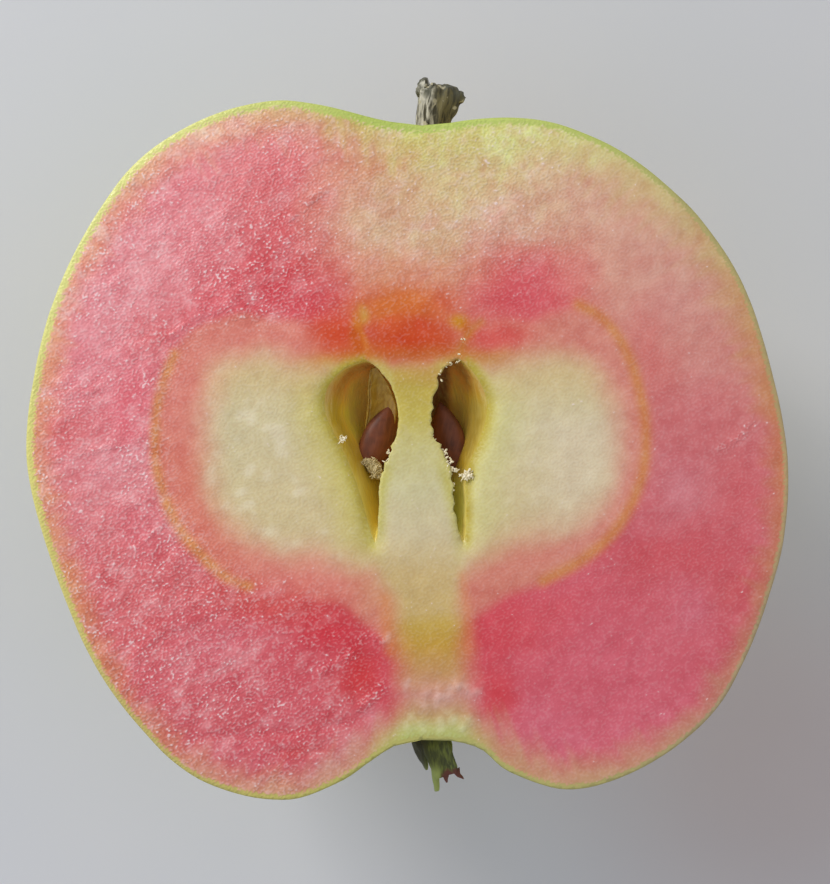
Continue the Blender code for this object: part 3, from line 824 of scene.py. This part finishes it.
def new_mesh_object(name, points, faces, materials, face_slots=None):
    """An object from points in millimetres. face_slots picks each face's material."""
    mesh = bpy.data.meshes.new(name)
    mesh.from_pydata((np.asarray(points) * MM).tolist(), [], [list(map(int, f)) for f in faces])
    for material in materials:
        mesh.materials.append(material)
    if face_slots is not None:
        mesh.polygons.foreach_set("material_index", np.asarray(face_slots, dtype=np.int32))
    mesh.shade_smooth()
    mesh.update()
    made = bpy.data.objects.new(name, mesh)
    bpy.context.scene.collection.objects.link(made)
    return made


def set_paint(piece, name, colours):
    wide = np.ones((len(colours), 4), np.float32)
    wide[:, :3] = colours
    layer = piece.data.color_attributes.new(name, "FLOAT_COLOR", "POINT")
    layer.data.foreach_set("color", wide.ravel())


def set_value(piece, name, values):
    layer = piece.data.attributes.new(name, "FLOAT", "POINT")
    layer.data.foreach_set("value", np.asarray(values, np.float32))


def skin_paint(points, azimuth, radius):
    """The skin: green by the stem, yellow on the cheeks, a pink blush and faint lengthwise streaks."""
    height = points[:, 1]
    patches = grain(points, 15.0, 51) + 0.5 * grain(points, 6.0, 52)
    streaks = grain(np.column_stack([azimuth * radius / 1.3, height / 11]), 1.0, 53)
    streaks += 0.6 * grain(np.column_stack([azimuth * radius / 0.6, height / 6]), 1.0, 54)
    blush = 0.5 * grain(points, 20.0, 55) + 0.4 * np.cos(azimuth + 1.2) + 0.25 * streaks
    inner = radius + 1.5 * streaks
    layers = (
        ((180, 188, 88), smoothstep(8, 33, height + 4 * patches)),
        ((220, 204, 124), 0.7 * smoothstep(0.0, 0.9, patches)),
        ((216, 128, 96), 0.60 * smoothstep(0.0, 1.0, blush) * smoothstep(6, 20, radius)),
        ((196, 200, 100), 0.35 * smoothstep(0.1, 0.9, streaks)),
        ((150, 126, 66), 0.9 * smoothstep(9.0, 3.0, inner) * (height > 0)),
        ((176, 168, 84), 0.8 * smoothstep(8.0, 3.0, inner) * (height < 0)),
    )
    colour = lay_all(np.zeros((len(points), 3)) + seen(208, 204, 112), layers)
    return np.clip(colour, DARKEST, LIGHTEST)


def lining_paint(points):
    """The chambers' tough lining: yellow-green at the mouth, olive deeper and brown towards the stem, with
    painted light and shade on some walls.
    """
    x, y, z = points.T
    depth = CUT_HEIGHT - z
    blotch = grain(points, 1.6, 61) + 0.5 * grain(points, 0.7, 62)
    walls = (
        ((178, 118, 46), smoothstep(2.5, 6.5, y + 0.7 * blotch)),
        ((158, 120, 64), 0.7 * smoothstep(2.5, 6.5, depth + blotch)),
        # Painted shade on the right chamber's outer wall, which faces the window.
        ((148, 126, 56), 0.7 * smoothstep(5.6, 6.4, x) * smoothstep(5, 3, y)),
    )
    # Painted shade on the right chamber's inner wall, under the column's edge.
    dark = smoothstep(4.9, 3.9, x) * smoothstep(1.0, 3.0, x) * smoothstep(1, 3, y)
    details = (
        ((206, 184, 76), smoothstep(-2.0, -5.0, y)),
        # Painted light: the right slit's floor is made paler to offset the shade in it.
        ((240, 222, 128), smoothstep(-2.5, -4.5, y) * smoothstep(3, 4, x)),
        ((100, 58, 36), 0.9 * dark),
        ((184, 162, 62), 0.7 * smoothstep(1.2, 0.3, depth + 0.3 * blotch)),
    )
    colour = lay_all(np.zeros((len(points), 3)) + seen(180, 150, 42), walls)
    # Painted light: the deeper walls are made lighter to offset the shade in the chambers.
    colour *= (1 + 1.2 * smoothstep(1.7, 4.0, depth) * smoothstep(-2, 1, y))[:, None]
    return np.clip(lay_all(colour, details), DARKEST, LIGHTEST)


def strip(upper, lower):
    """Faces between two rows of point indices. Corners that meet are merged."""
    corners = zip(upper[:-1], upper[1:], lower[1:], lower[:-1])
    faces = [list(dict.fromkeys(face)) for face in corners]
    return [face for face in faces if len(face) > 2]


def line_chambers(loops, heights, above_first, below_first):
    """(points, faces) of both chambers' walls. heights are those of the mouths' points.

    The mouths' points are numbered from above_first, and the new ones from below_first.
    """
    points, faces = [], []
    for loop, soft in loops:
        above = above_first + np.arange(len(loop))
        above_first += len(loop)
        drop, heights = CUT_HEIGHT - heights[: len(loop)], heights[len(loop) :]
        for ring in chamber_levels(loop, soft, drop):
            below = np.resize(below_first + np.arange(len(ring)), len(loop))
            below_first += len(ring)
            faces += strip(np.append(above, above[0]), np.append(below, below[0]))
            points.append(ring)
            above = below
    return np.vstack(points), faces


def paint_face(apple, face, face_index, count, used):
    """Paints the cut face's points. count is how many points there were before the unused ones went."""

    def spread(values):
        everywhere = np.zeros((count, *values.shape[1:]))
        everywhere[face_index] = values
        return everywhere[used]

    # The edge colour carries painted light and shade: lighter at the upper left, darker at the right and
    # bottom.
    lit_and_shaded_edge_colour, edge_width, _, _ = by_bearing(face.points)
    set_paint(apple, "flesh_paint", spread(face_paint(face)))
    set_paint(apple, "lit_and_shaded_edge_paint", spread(lit_and_shaded_edge_colour))
    set_value(apple, "rim_share", spread(face.rim / edge_width))
    set_value(apple, "wet", spread(face.wet))


def make_apple(materials):
    """One closed mesh: the skin round the back, the cut face and the lining of both chambers."""
    grid, azimuth, radius, is_open = skin_grid()
    rows, columns = grid.shape[:2]
    index = np.arange(rows * columns).reshape(rows, columns)
    index[~is_open, -1] = index[~is_open, 0]
    index[0], index[-1] = index[0, 0], index[-1, 0]
    open_rows = np.nonzero(is_open)[0]
    first, last = open_rows[0] - 1, open_rows[-1] + 1
    outline_index = np.concatenate([index[first : last + 1, 0], index[last - 1 : first : -1, -1]])
    skin_points = grid.reshape(-1, 3)
    outline = skin_points[outline_index, :2]

    loops = [mouth_loop(LEFT_MOUTH, 31), mouth_loop(RIGHT_MOUTH, 35)]
    mouths = [loop for loop, _ in loops]
    inner = face_points(outline, mouths, np.random.default_rng(7))
    flat, triangles = fill_face(outline, mouths, inner)
    face = Face(flat, outline, mouths)
    on_edge = len(outline)
    on_mouths = len(flat) - len(inner)
    face.rim[:on_edge] = 0
    face.mouth[on_edge:on_mouths] = 0
    face.soften(loops)
    face_height = CUT_HEIGHT + face_relief(face)

    skin_count = len(skin_points)
    chamber_first = skin_count + len(flat) - on_edge
    chambers, chamber_faces = line_chambers(loops, face_height[on_edge:on_mouths], skin_count, chamber_first)
    points = np.vstack([skin_points, np.column_stack([flat, face_height])[on_edge:], chambers])
    face_index = np.concatenate([outline_index, np.arange(skin_count, chamber_first)])
    skin_faces = sum((strip(index[row], index[row + 1]) for row in range(rows - 1)), [])
    faces = [*skin_faces, *face_index[triangles].tolist(), *chamber_faces]
    slots = np.repeat((0, 1, 2), (len(skin_faces), len(triangles), len(chamber_faces)))
    used = np.unique(np.concatenate([np.ravel(f) for f in faces]))
    place = np.full(len(points), -1)
    place[used] = np.arange(len(used))
    apple = new_mesh_object("apple", points[used], [place[f] for f in faces], materials, slots)

    skin_colour = skin_paint(skin_points, azimuth.ravel(), radius.ravel())
    lining_colour = lining_paint(points[skin_count:])
    set_paint(apple, "paint", np.vstack([skin_colour, lining_colour])[used])
    paint_face(apple, face, face_index, len(points), used)
    return apple


# Small parts.


def loft(rings):
    """(points, faces) of a closed surface over rings of equal length. Its ends close at a middle point."""
    count = len(rings[0])
    points = np.vstack([rings[0].mean(0)[None], *rings, rings[-1].mean(0)[None]])
    last = len(points) - 1
    faces = []
    for i in range(count):
        j = (i + 1) % count
        faces.append((0, 1 + j, 1 + i))
        faces.append((last, last - count + i, last - count + j))
        for row in range(len(rings) - 1):
            low = 1 + row * count
            faces.append((low + i, low + j, low + count + j, low + count + i))
    return points, faces


def join(shapes):
    """Several (points, faces) as one."""
    points, faces, first = [], [], 0
    for some_points, some_faces in shapes:
        points.append(some_points)
        faces += [tuple(first + k for k in face) for face in some_faces]
        first += len(some_points)
    return np.vstack(points), faces


def blob(centre, radii, seed, roughness, size, sides):
    """A lumpy closed bit of tissue."""
    turn = np.linspace(0, 2 * math.pi, sides, endpoint=False)
    rings = []
    for level in np.linspace(0.05, math.pi - 0.05, sides // 2 + 2):
        flat = np.column_stack([np.cos(turn), np.sin(turn)]) * math.sin(level)
        rings.append(np.column_stack([flat, np.full(sides, -math.cos(level))]))
    points, faces = loft(rings)
    points = points * radii
    lumps = 1 + roughness * grain(points, size, seed) + roughness * grain(points, size / 2, seed + 1)
    return centre + points * lumps[:, None], faces


def frames(centre):
    """Sideways and upward directions at each point of a line."""
    along = np.gradient(centre, axis=0)
    along /= np.linalg.norm(along, axis=1)[:, None]
    side = np.cross(along, (0, 0, 1))
    side /= np.linalg.norm(side, axis=1)[:, None]
    return side, np.cross(side, along)


def bar(line, sides, shape):
    """A bar along (x, y, z, radius) points. shape(around, along) scales its radius."""
    centre, radius = line[:, :3], line[:, 3]
    right, up = frames(centre)
    turn = np.linspace(0, 2 * math.pi, sides, endpoint=False)
    rings = []
    for k in range(len(line)):
        reach = radius[k] * shape(turn, k / (len(line) - 1))
        offset = np.cos(turn)[:, None] * right[k] + np.sin(turn)[:, None] * up[k]
        rings.append(centre[k] + offset * reach[:, None])
    return loft(rings[::-1])


def make_seed(name, place, turn, roll, material):
    """A flat drop with its point towards the stem."""
    length, width, thickness = SEED_SIZE
    around = np.linspace(0, 2 * math.pi, SEED_SIDES, endpoint=False)
    rings = []
    for along in np.sin(np.linspace(-1.52, 1.52, SEED_SIDES)):
        full = math.sqrt(1 - along**2)
        taper = 1 - 0.12 * (along + 1) - 0.35 * max(0, along) ** 2
        across = np.cos(around) * full * taper * width / 2
        up = np.sin(around) * full * math.sqrt(taper) * thickness / 2
        rings.append(np.column_stack([across, np.full(SEED_SIDES, along * length / 2), up]))
    points, faces = loft(rings[::-1])
    points += 0.05 * grain_shift(points * (1, 0.35, 1), 0.7, 71)
    rotation = Matrix.Rotation(math.radians(turn), 3, "Z") @ Matrix.Rotation(math.radians(roll), 3, "Y")
    points = points @ np.array(rotation).T + place
    seed = new_mesh_object(name + "_coat", points, faces, [material])
    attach(seed, "root")
    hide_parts(name)


def make_stem(material):
    """A dry ridged stem that widens to its broken end."""
    line = (
        (1.8, 25.0, AXIS_Z, 1.30), (1.85, 27.0, AXIS_Z, 1.25), (2.1, 29.4, AXIS_Z, 1.35),
        (2.5, 31.6, AXIS_Z, 1.55), (2.8, 33.2, AXIS_Z, 1.75), (3.2, 34.6, AXIS_Z, 2.0),
        (3.4, 35.7, AXIS_Z, 2.05), (3.4, 36.2, AXIS_Z, 1.6),
    )

    def ridged(around, along):
        furrows = 0.10 * np.cos(9 * around + 2.5 * along) + 0.05 * np.cos(17 * around - 3 * along + 1)
        return 1 + furrows * (1 - 0.4 * along)

    knobs = (
        blob((1.75, 36.1, AXIS_Z + 0.3), (0.75, 1.15, 0.9), 81, 0.2, 0.5, 28),
        blob((2.7, 36.0, AXIS_Z + 0.8), (0.55, 0.6, 0.6), 83, 0.2, 0.4, 22),
        blob((5.0, 35.2, AXIS_Z + 0.1), (0.95, 0.75, 1.0), 85, 0.2, 0.5, 28),
        blob((3.9, 35.9, AXIS_Z - 0.4), (1.2, 0.7, 1.2), 87, 0.25, 0.5, 28),
    )
    points, faces = join([bar(smooth_line(line, 7), STEM_SIDES, ridged), *knobs])
    points += 0.10 * grain_shift(points * (1, 0.4, 1), 0.6, 91)
    stem = new_mesh_object("stem_bark", points, faces, [material])
    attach(stem, "root")
    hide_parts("stem")


def leaf(line, widths, thickness, fold, seed):
    """A dried sepal along (x, y, z) points, as wide as widths say along it. fold curls its sides."""
    centre = smooth_line(line, 8)
    count = len(centre)
    half = np.interp(np.linspace(0, 1, count), np.linspace(0, 1, len(widths)), widths) / 2
    side, up = frames(centre)
    across = np.linspace(-1, 1, LEAF_COLUMNS)
    thick = thickness * (1 - 0.75 * np.abs(across) ** 3) / 2
    rings = []
    for k in range(count):
        middle = centre[k] + np.outer(across * half[k], side[k]) + np.outer(fold * across**2 * half[k], up[k])
        top, bottom = middle + np.outer(thick, up[k]), middle - np.outer(thick, up[k])
        rings.append(np.vstack([top, bottom[::-1]]))
    points, faces = loft(rings)
    return points + 0.07 * grain_shift(points, 0.5, seed), faces


def make_calyx(material):
    """Five dried sepals on a small cup. The widest one is broken off to sharp corners."""
    z = AXIS_Z
    cup = ((1.8, -28.3, z, 1.8), (2.1, -29.4, z, 1.9), (2.4, -30.4, z, 1.7), (2.6, -31.2, z, 1.1))
    blade = ((2.5, -29.6, z + 1.4), (3.1, -31.4, z + 2.0), (3.7, -33.0, z + 1.9), (4.1, -34.2, z + 1.5))
    blade_spike = ((5.0, -33.6, z + 1.5), (5.35, -34.2, z + 1.45), (5.85, -34.6, z + 1.4))
    blade_tooth = ((3.9, -33.6, z + 1.4), (4.0, -34.4, z + 1.2), (4.1, -35.0, z + 1.0))
    finger = ((2.2, -30.2, z + 0.6), (2.7, -32.4, z + 1.1), (2.95, -34.2, z + 0.9), (3.1, -36.0, z + 0.5))
    thin = ((1.2, -29.8, z + 0.5), (1.4, -31.2, z + 0.9), (1.75, -32.6, z + 0.8), (2.05, -33.8, z + 0.5))
    low_left = ((1.2, -29.6, z - 0.9), (1.3, -31.6, z - 1.3), (2.0, -33.8, z - 0.6))
    low_right = ((3.2, -29.6, z - 0.9), (4.0, -31.6, z - 1.3), (4.1, -34.0, z - 0.5))
    shapes = [
        bar(smooth_line(cup, 5), CUP_SIDES, lambda around, along: 1 + 0.06 * np.cos(5 * around)),
        leaf(blade, (2.7, 2.8, 2.7, 2.6, 2.3), 0.34, 0.25, 101),
        leaf(blade_spike, (0.9, 0.5, 0.12), 0.28, 0.1, 104),
        leaf(blade_tooth, (0.9, 0.6, 0.2), 0.28, 0.1, 107),
        leaf(finger, (1.3, 1.2, 0.8, 0.7, 0.45), 0.5, -0.3, 110),
        leaf(thin, (1.2, 1.0, 0.7, 0.5, 0.3), 0.4, 0.35, 113),
        leaf(low_left, (1.8, 1.6, 1.2, 0.4), 0.4, -0.4, 116),
        leaf(low_right, (1.8, 1.6, 1.2, 0.4), 0.4, -0.4, 119),
    ]
    calyx = new_mesh_object("calyx_sepals", *join(shapes), [material])
    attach(calyx, "root")
    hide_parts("calyx")


def strand(points, radius, seed, sides=6):
    """A thin uneven strand through (x, y, z) points, thinner towards its ends."""
    line = smooth_line(points, 5)
    share = np.linspace(-1, 1, len(line))
    reach = radius * (1 - 0.75 * share**2) * (1 + 0.35 * grain(line, 0.3, seed))
    return bar(np.column_stack([line, reach]), sides, lambda around, along: np.ones(sides))


def tuft(random, place, spread, count, radii, length):
    """Short curly strands round a place."""
    strands = []
    for _ in range(count):
        start = np.array(place) + random.uniform(-1, 1, 3) * spread
        bends = random.uniform(-length, length, (2, 3)) * (1, 1, 0.35)
        points = [start, start + bends[0], start + bends.sum(0)]
        strands.append(strand(points, random.uniform(*radii), int(random.integers(1000))))
    return strands


def make_torn_tissue(material):
    """Torn strands along the ragged stretches of the chambers' mouths."""
    random = np.random.default_rng(12)
    strands = []
    for x, y, spread_x, spread_y, count in TORN_TUFTS:
        place, spread = (x, y, CUT_HEIGHT - 0.16), (spread_x, spread_y, 0.06)
        strands += tuft(random, place, spread, count, (0.05, 0.12), 0.25)
    piece = new_mesh_object("torn_tissue", *join(strands), [material])
    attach(piece, "root")


def make_fluff(material):
    """A soft tuft of fluff below the left seed."""
    random = np.random.default_rng(14)
    z = CUT_HEIGHT - 3.0
    bits = [
        blob((-3.8, -2.3, z), (0.75, 0.5, 0.45), 121, 0.12, 0.6, 24),
        blob((-3.3, -2.8, z), (0.75, 0.75, 0.5), 123, 0.12, 0.6, 24),
        blob((-2.9, -3.4, z), (0.5, 0.6, 0.4), 125, 0.12, 0.6, 20),
        *tuft(random, (-3.7, -2.4, z + 0.4), (0.6, 0.4, 0.1), 40, (0.05, 0.10), 0.3),
        *tuft(random, (-3.1, -3.1, z + 0.4), (0.5, 0.6, 0.1), 50, (0.05, 0.10), 0.3),
    ]
    piece = new_mesh_object("core_fluff", *join(bits), [material])
    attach(piece, "root")


def make_membrane(material):
    """The thin wall that hangs loose behind the left seed, with a rolled edge."""
    top = CUT_HEIGHT
    line = ((-3.3, 7.3, top - 1.6), (-2.8, 5.4, top - 2.8), (-2.4, 3.2, top - 3.8), (-2.8, 0.8, top - 4.4))
    edge = ((-3.6, 7.2, top - 1.5), (-3.8, 5.4, top - 2.5), (-3.9, 3.2, top - 3.3), (-4.3, 0.6, top - 4.0))
    shapes = [leaf(line, (0.6, 2.0, 2.9, 2.8), 0.14, 0.35, 131), strand(edge, 0.13, 134, 8)]
    piece = new_mesh_object("core_membrane", *join(shapes), [material])
    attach(piece, "root")


# Materials.


class Nodes:
    """Short names for building a material's node tree."""

    def __init__(self, name, roughness=0.5):
        self.material = bpy.data.materials.new(name)
        self.material.use_nodes = True
        self.tree = self.material.node_tree
        self.shader = self.tree.nodes["Principled BSDF"]
        self.shader.inputs["Roughness"].default_value = roughness
        self.where = self.add("ShaderNodeTexCoord").outputs["Object"]

    def add(self, kind, **settings):
        made = self.tree.nodes.new(kind)
        for name, value in settings.items():
            setattr(made, name, value)
        return made

    def put(self, target, value):
        if hasattr(value, "is_output"):
            self.tree.links.new(value, target)
        else:
            target.default_value = value

    def attribute(self, name, output="Fac"):
        return self.add("ShaderNodeAttribute", attribute_name=name).outputs[output]

    def turned(self, degrees, stretch):
        """Object coordinates turned about Z and stretched along the turned X."""
        made = self.add("ShaderNodeMapping", vector_type="TEXTURE")
        made.inputs["Rotation"].default_value = (0, 0, math.radians(degrees))
        made.inputs["Scale"].default_value = (stretch, 1, 1)
        self.put(made.inputs["Vector"], self.where)
        return made.outputs["Vector"]

    def noise(self, size_mm, detail=2.0, where=None):
        made = self.add("ShaderNodeTexNoise")
        self.put(made.inputs["Vector"], where or self.where)
        made.inputs["Scale"].default_value = 1 / (size_mm * MM)
        made.inputs["Detail"].default_value = detail
        return made.outputs["Fac"]

    def cells(self, size_mm):
        """Distance from the middle of cells of that size."""
        made = self.add("ShaderNodeTexVoronoi")
        self.put(made.inputs["Vector"], self.where)
        made.inputs["Scale"].default_value = 1 / (size_mm * MM)
        return made.outputs["Distance"]

    def position(self):
        """The X and Y of object coordinates."""
        made = self.add("ShaderNodeSeparateXYZ")
        self.put(made.inputs[0], self.where)
        return made.outputs["X"], made.outputs["Y"]

    def math(self, operation, first, second):
        made = self.add("ShaderNodeMath", operation=operation)
        self.put(made.inputs[0], first)
        self.put(made.inputs[1], second)
        return made.outputs[0]

    def ramp(self, value, low, high, to_low=0.0, to_high=1.0):
        made = self.add("ShaderNodeMapRange", interpolation_type="SMOOTHSTEP")
        given = {"Value": value, "From Min": low, "From Max": high, "To Min": to_low, "To Max": to_high}
        for name, amount in given.items():
            self.put(made.inputs[name], amount)
        return made.outputs["Result"]

    def mix(self, share, first, second, blend="MIX"):
        made = self.add("ShaderNodeMix", data_type="RGBA", blend_type=blend)
        self.put(made.inputs[0], share)
        for socket, value in ((made.inputs[6], first), (made.inputs[7], second)):
            self.put(socket, value if hasattr(value, "is_output") else (*value, 1))
        return made.outputs[2]

    def bump(self, height, distance_mm, strength=1.0, after=None):
        made = self.add("ShaderNodeBump")
        self.put(made.inputs["Height"], height)
        self.put(made.inputs["Strength"], strength)
        made.inputs["Distance"].default_value = distance_mm * MM
        if after:
            self.put(made.inputs["Normal"], after)
        return made.outputs["Normal"]

    def finish(self, colour, roughness=None, normal=None, **constants):
        self.put(self.shader.inputs["Base Color"], colour)
        if roughness is not None:
            self.put(self.shader.inputs["Roughness"], roughness)
        if normal is not None:
            self.put(self.shader.inputs["Normal"], normal)
        for name, value in constants.items():
            self.shader.inputs[name.replace("_", " ")].default_value = value
        return self.material


def flesh_material():
    """Moist flesh: the zones' colours, darker pores, painted sheen and glints where the cut is rough, and the
    skin's edge.
    """
    n = Nodes("apple_flesh")
    wet = n.attribute("wet")
    fine = n.noise(0.23, 0.0, n.turned(34, 1.2))
    patchy = n.noise(1.1, 1.0, n.turned(34, 1.6))
    colour = n.attribute("flesh_paint", "Color")
    pores = n.ramp(fine, 0.52, 0.28, 0.0, n.ramp(wet, 0.0, 1.0, 0.2, 0.5))
    colour = n.mix(pores, colour, (0.88, 0.70, 0.70), "MULTIPLY")
    # Painted sheen: paler tops of the fine bumps, stronger where the face is wet.
    pale = n.ramp(fine, 0.5, 0.72, 0.0, n.ramp(wet, 0.0, 1.0, 0.06, 0.25))
    colour = n.mix(pale, colour, (0.93, 0.74, 0.72))
    # Painted glints: bright specks laid into the colour where the face is wet; there the face is also less
    # rough.
    level = n.math("ADD", fine, n.ramp(patchy, 0.35, 0.7, -0.10, 0.06))
    level = n.math("ADD", level, n.ramp(wet, 0.1, 1.0, -0.14, 0.0))
    level = n.math("ADD", level, n.ramp(n.noise(4.5, 1.0), 0.40, 0.62, -0.06, 0.015))
    glint = n.ramp(level, 0.675, 0.79)
    colour = n.mix(n.math("MULTIPLY", glint, 0.55), colour, (1.0, 0.82, 0.80))
    edge = n.math("ADD", n.attribute("rim_share"), n.ramp(fine, 0.3, 0.7, -0.25, 0.25))
    # The skin's edge, with its painted light and shade.
    colour = n.mix(n.ramp(edge, 0.6, 1.4, 1.0, 0.0), colour, n.attribute("lit_and_shaded_edge_paint", "Color"))
    normal = n.bump(fine, 0.09, n.ramp(wet, 0.0, 1.0, 0.3, 1.0))
    return n.finish(colour, n.ramp(glint, 0.0, 0.6, 0.36, 0.18), normal, IOR=1.42)


def skin_material():
    """Waxy skin with pale dots."""
    n = Nodes("apple_skin")
    colour = n.attribute("paint", "Color")
    dots = n.ramp(n.cells(2.7), 0.06, 0.12, 1.0, 0.0)
    colour = n.mix(n.math("MULTIPLY", dots, 0.75), colour, seen(232, 226, 176))
    fleck = n.noise(0.9)
    colour = n.mix(n.ramp(fleck, 0.45, 0.7, 0.0, 0.25), colour, seen(226, 214, 140))
    normal = n.bump(fleck, 0.05, 0.5, n.bump(dots, 0.06, 0.6))
    return n.finish(colour, n.ramp(fleck, 0.3, 0.7, 0.24, 0.36), normal, Coat_Weight=0.2, Coat_Roughness=0.15)


def lining_material():
    """The chambers' glossy lining with fine fibres along the core."""
    n = Nodes("chamber_lining")
    fibre = n.noise(0.35, 2.0, n.turned(90, 4.0))
    colour = n.mix(n.ramp(fibre, 0.35, 0.7, 0.0, 0.25), n.attribute("paint", "Color"), seen(196, 178, 100))
    return n.finish(colour, 0.32, n.bump(fibre, 0.12, 0.6))


def seed_material():
    """Brown seed coat with fine lengthwise lines."""
    n = Nodes("seed_coat")
    lines = n.noise(0.35, 2.0, n.turned(80, 6.0))
    colour = n.mix(n.ramp(n.noise(1.8), 0.35, 0.7), seen(112, 57, 30), seen(76, 37, 20))
    colour = n.mix(n.ramp(lines, 0.4, 0.7, 0.0, 0.35), colour, seen(132, 74, 44))
    return n.finish(colour, 0.54, n.bump(lines, 0.05, 0.6), Coat_Weight=0.02, Coat_Roughness=0.3)


def bark_material():
    """Dry grey bark with dark furrows, darker at the broken end, and painted shade on its right side."""
    n = Nodes("stem_bark")
    streak = n.noise(0.42, 3.0, n.turned(84, 5.0))
    across, along = n.position()
    # Painted shade: the bark turns dark brown on its right, the side away from the window.
    right = n.ramp(across, 2.0 * MM, 3.3 * MM)
    top = n.ramp(along, 34.2 * MM, 35.8 * MM)
    pale = n.mix(right, seen(188, 184, 168), seen(104, 96, 62))
    colour = n.mix(n.ramp(streak, 0.40, 0.62), pale, seen(58, 54, 36))
    colour = n.mix(n.math("MULTIPLY", top, n.ramp(n.noise(0.9), 0.35, 0.6)), colour, seen(78, 78, 64))
    fleck = n.ramp(n.noise(0.8, 1.0), 0.64, 0.72)
    colour = n.mix(n.math("MULTIPLY", fleck, 0.8), colour, seen(176, 168, 138))
    return n.finish(colour, 0.82, n.bump(streak, 0.22, 0.9))


def sepal_material():
    """Dried green sepals with brown tips and fine veins, darker at the cup partly with painted shadow."""
    n = Nodes("dry_sepal")
    vein = n.noise(0.3, 2.0, n.turned(100, 5.0))
    across, along = n.position()
    colour = n.mix(n.ramp(vein, 0.35, 0.68), seen(60, 64, 22), seen(104, 112, 42))
    # Darker at the cup end, under the cut face's edge: partly the cup's own dark colour and partly painted
    # shadow.
    colour = n.mix(n.ramp(along, -30.4 * MM, -31.6 * MM, 0.75, 0.0), colour, seen(50, 52, 24))
    ragged = n.math("ADD", along, n.ramp(n.noise(0.8), 0.2, 0.8, -0.5 * MM, 0.5 * MM))
    tip = n.math("MULTIPLY", n.ramp(ragged, -33.4 * MM, -34.0 * MM), n.ramp(across, 3.3 * MM, 3.8 * MM))
    colour = n.mix(tip, colour, seen(92, 46, 32))
    finger = n.math("MULTIPLY", n.ramp(along, -32.6 * MM, -34.2 * MM), n.ramp(across, 3.6 * MM, 3.3 * MM))
    colour = n.mix(finger, colour, seen(138, 148, 76))
    colour = n.mix(n.ramp(across, 2.3 * MM, 1.6 * MM, 0.0, 0.85), colour, seen(56, 52, 40))
    return n.finish(colour, 0.62, n.bump(vein, 0.10, 0.8))


def tissue_material(name, size_mm, tones, roughness, bump, fibrous=False):
    """A dark and a pale tone in specks or, where the tissue is fibrous, in fibres along the core."""
    n = Nodes(name)
    speckle = n.noise(size_mm, 2.0, n.turned(80, 4.0) if fibrous else None)
    colour = n.mix(n.ramp(speckle, 0.35, 0.65), seen(*tones[0]), seen(*tones[1]))
    return n.finish(colour, roughness, n.bump(speckle, *bump))


def floor_material():
    """Pale matt board with barely visible mottling, and a painted shadow to the lower right."""
    n = Nodes("pale_floor", 0.9)
    colour = n.mix(n.ramp(n.noise(30.0), 0.3, 0.7), (0.620, 0.630, 0.655), (0.635, 0.640, 0.66))
    gap = n.add("ShaderNodeVectorMath", operation="DISTANCE")
    n.put(gap.inputs[0], n.where)
    gap.inputs[1].default_value = [c * MM for c in FLOOR_SHADOW_SPOT]
    # Painted shadow: the floor turns darker and warmer towards the lower right.
    painted_shadow = n.ramp(gap.outputs["Value"], FLOOR_SHADOW_REACH[0] * MM, FLOOR_SHADOW_REACH[1] * MM, 1.0, 0.0)
    return n.finish(n.mix(painted_shadow, colour, (0.87, 0.77, 0.74), "MULTIPLY"))


# The stage.


def make_floor():
    bpy.ops.mesh.primitive_plane_add(size=3.0, location=(0, 0, 0))
    floor = bpy.context.object
    floor.name = "floor"
    floor.data.materials.append(floor_material())


def make_light(name, place, size, power, colour):
    """A round lamp that faces the middle of the floor. Its place and size are metres."""
    data = bpy.data.lights.new(name, "AREA")
    data.shape = "DISK"
    data.size = size
    data.energy = power
    data.color = colour
    lamp = bpy.data.objects.new(name, data)
    lamp.location = place
    lamp.rotation_euler = (-Vector(place)).to_track_quat("-Z", "Y").to_euler()
    bpy.context.scene.collection.objects.link(lamp)


def light_scene():
    world = bpy.data.worlds.new("studio")
    world.use_nodes = True
    sky = world.node_tree.nodes["Background"]
    sky.inputs["Color"].default_value = (0.96, 0.98, 1.01, 1)
    sky.inputs["Strength"].default_value = 0.50
    bpy.context.scene.world = world
    make_light("window", (-0.42, 0.42, 0.36), 0.30, 2.56, (1.02, 0.99, 0.97))
    make_light("glint", (-0.30, 0.34, 0.40), 0.05, 0.12, (1.0, 1.0, 1.0))
    make_light("side", (-0.55, -0.25, 0.28), 0.55, 0.57, (0.77, 0.91, 1.42))
    make_light("fill", (0.56, 0.04, 0.28), 0.55, 0.47, (0.95, 0.95, 1.10))
    bpy.context.scene.view_settings.view_transform = "Standard"


def make_camera():
    data = bpy.data.cameras.new("camera")
    data.sensor_fit = "HORIZONTAL"
    data.sensor_width = SENSOR_WIDTH
    data.lens = SENSOR_WIDTH * CAMERA_DISTANCE / FIELD_WIDTH
    camera = bpy.data.objects.new("camera", data)
    camera.location = Vector((*CAMERA_AIM, CUT_HEIGHT + CAMERA_DISTANCE)) * MM
    bpy.context.scene.collection.objects.link(camera)
    bpy.context.scene.camera = camera


def main():
    make_camera()
    light_scene()
    make_floor()
    apple = make_apple([skin_material(), flesh_material(), lining_material()])
    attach(apple, "root")
    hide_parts("apple_half")
    seeds = seed_material()
    make_seed("seed_left", (-2.8, 0.3, CUT_HEIGHT - 4.0), -22, 14, seeds)
    make_seed("seed_right", (4.2, 0.3, CUT_HEIGHT - 4.0), 13, -14, seeds)
    make_stem(bark_material())
    make_calyx(sepal_material())
    cream = ((204, 190, 146), (230, 220, 190))
    grey = ((168, 152, 104), (200, 186, 144))
    olive = ((150, 114, 30), (168, 136, 50))
    make_torn_tissue(tissue_material("torn_tissue", 0.3, cream, 0.6, (0.06, 0.8)))
    make_fluff(tissue_material("core_fluff", 0.5, grey, 0.8, (0.05, 0.6)))
    make_membrane(tissue_material("core_membrane", 0.35, olive, 0.35, (0.06, 0.7), fibrous=True))


main()
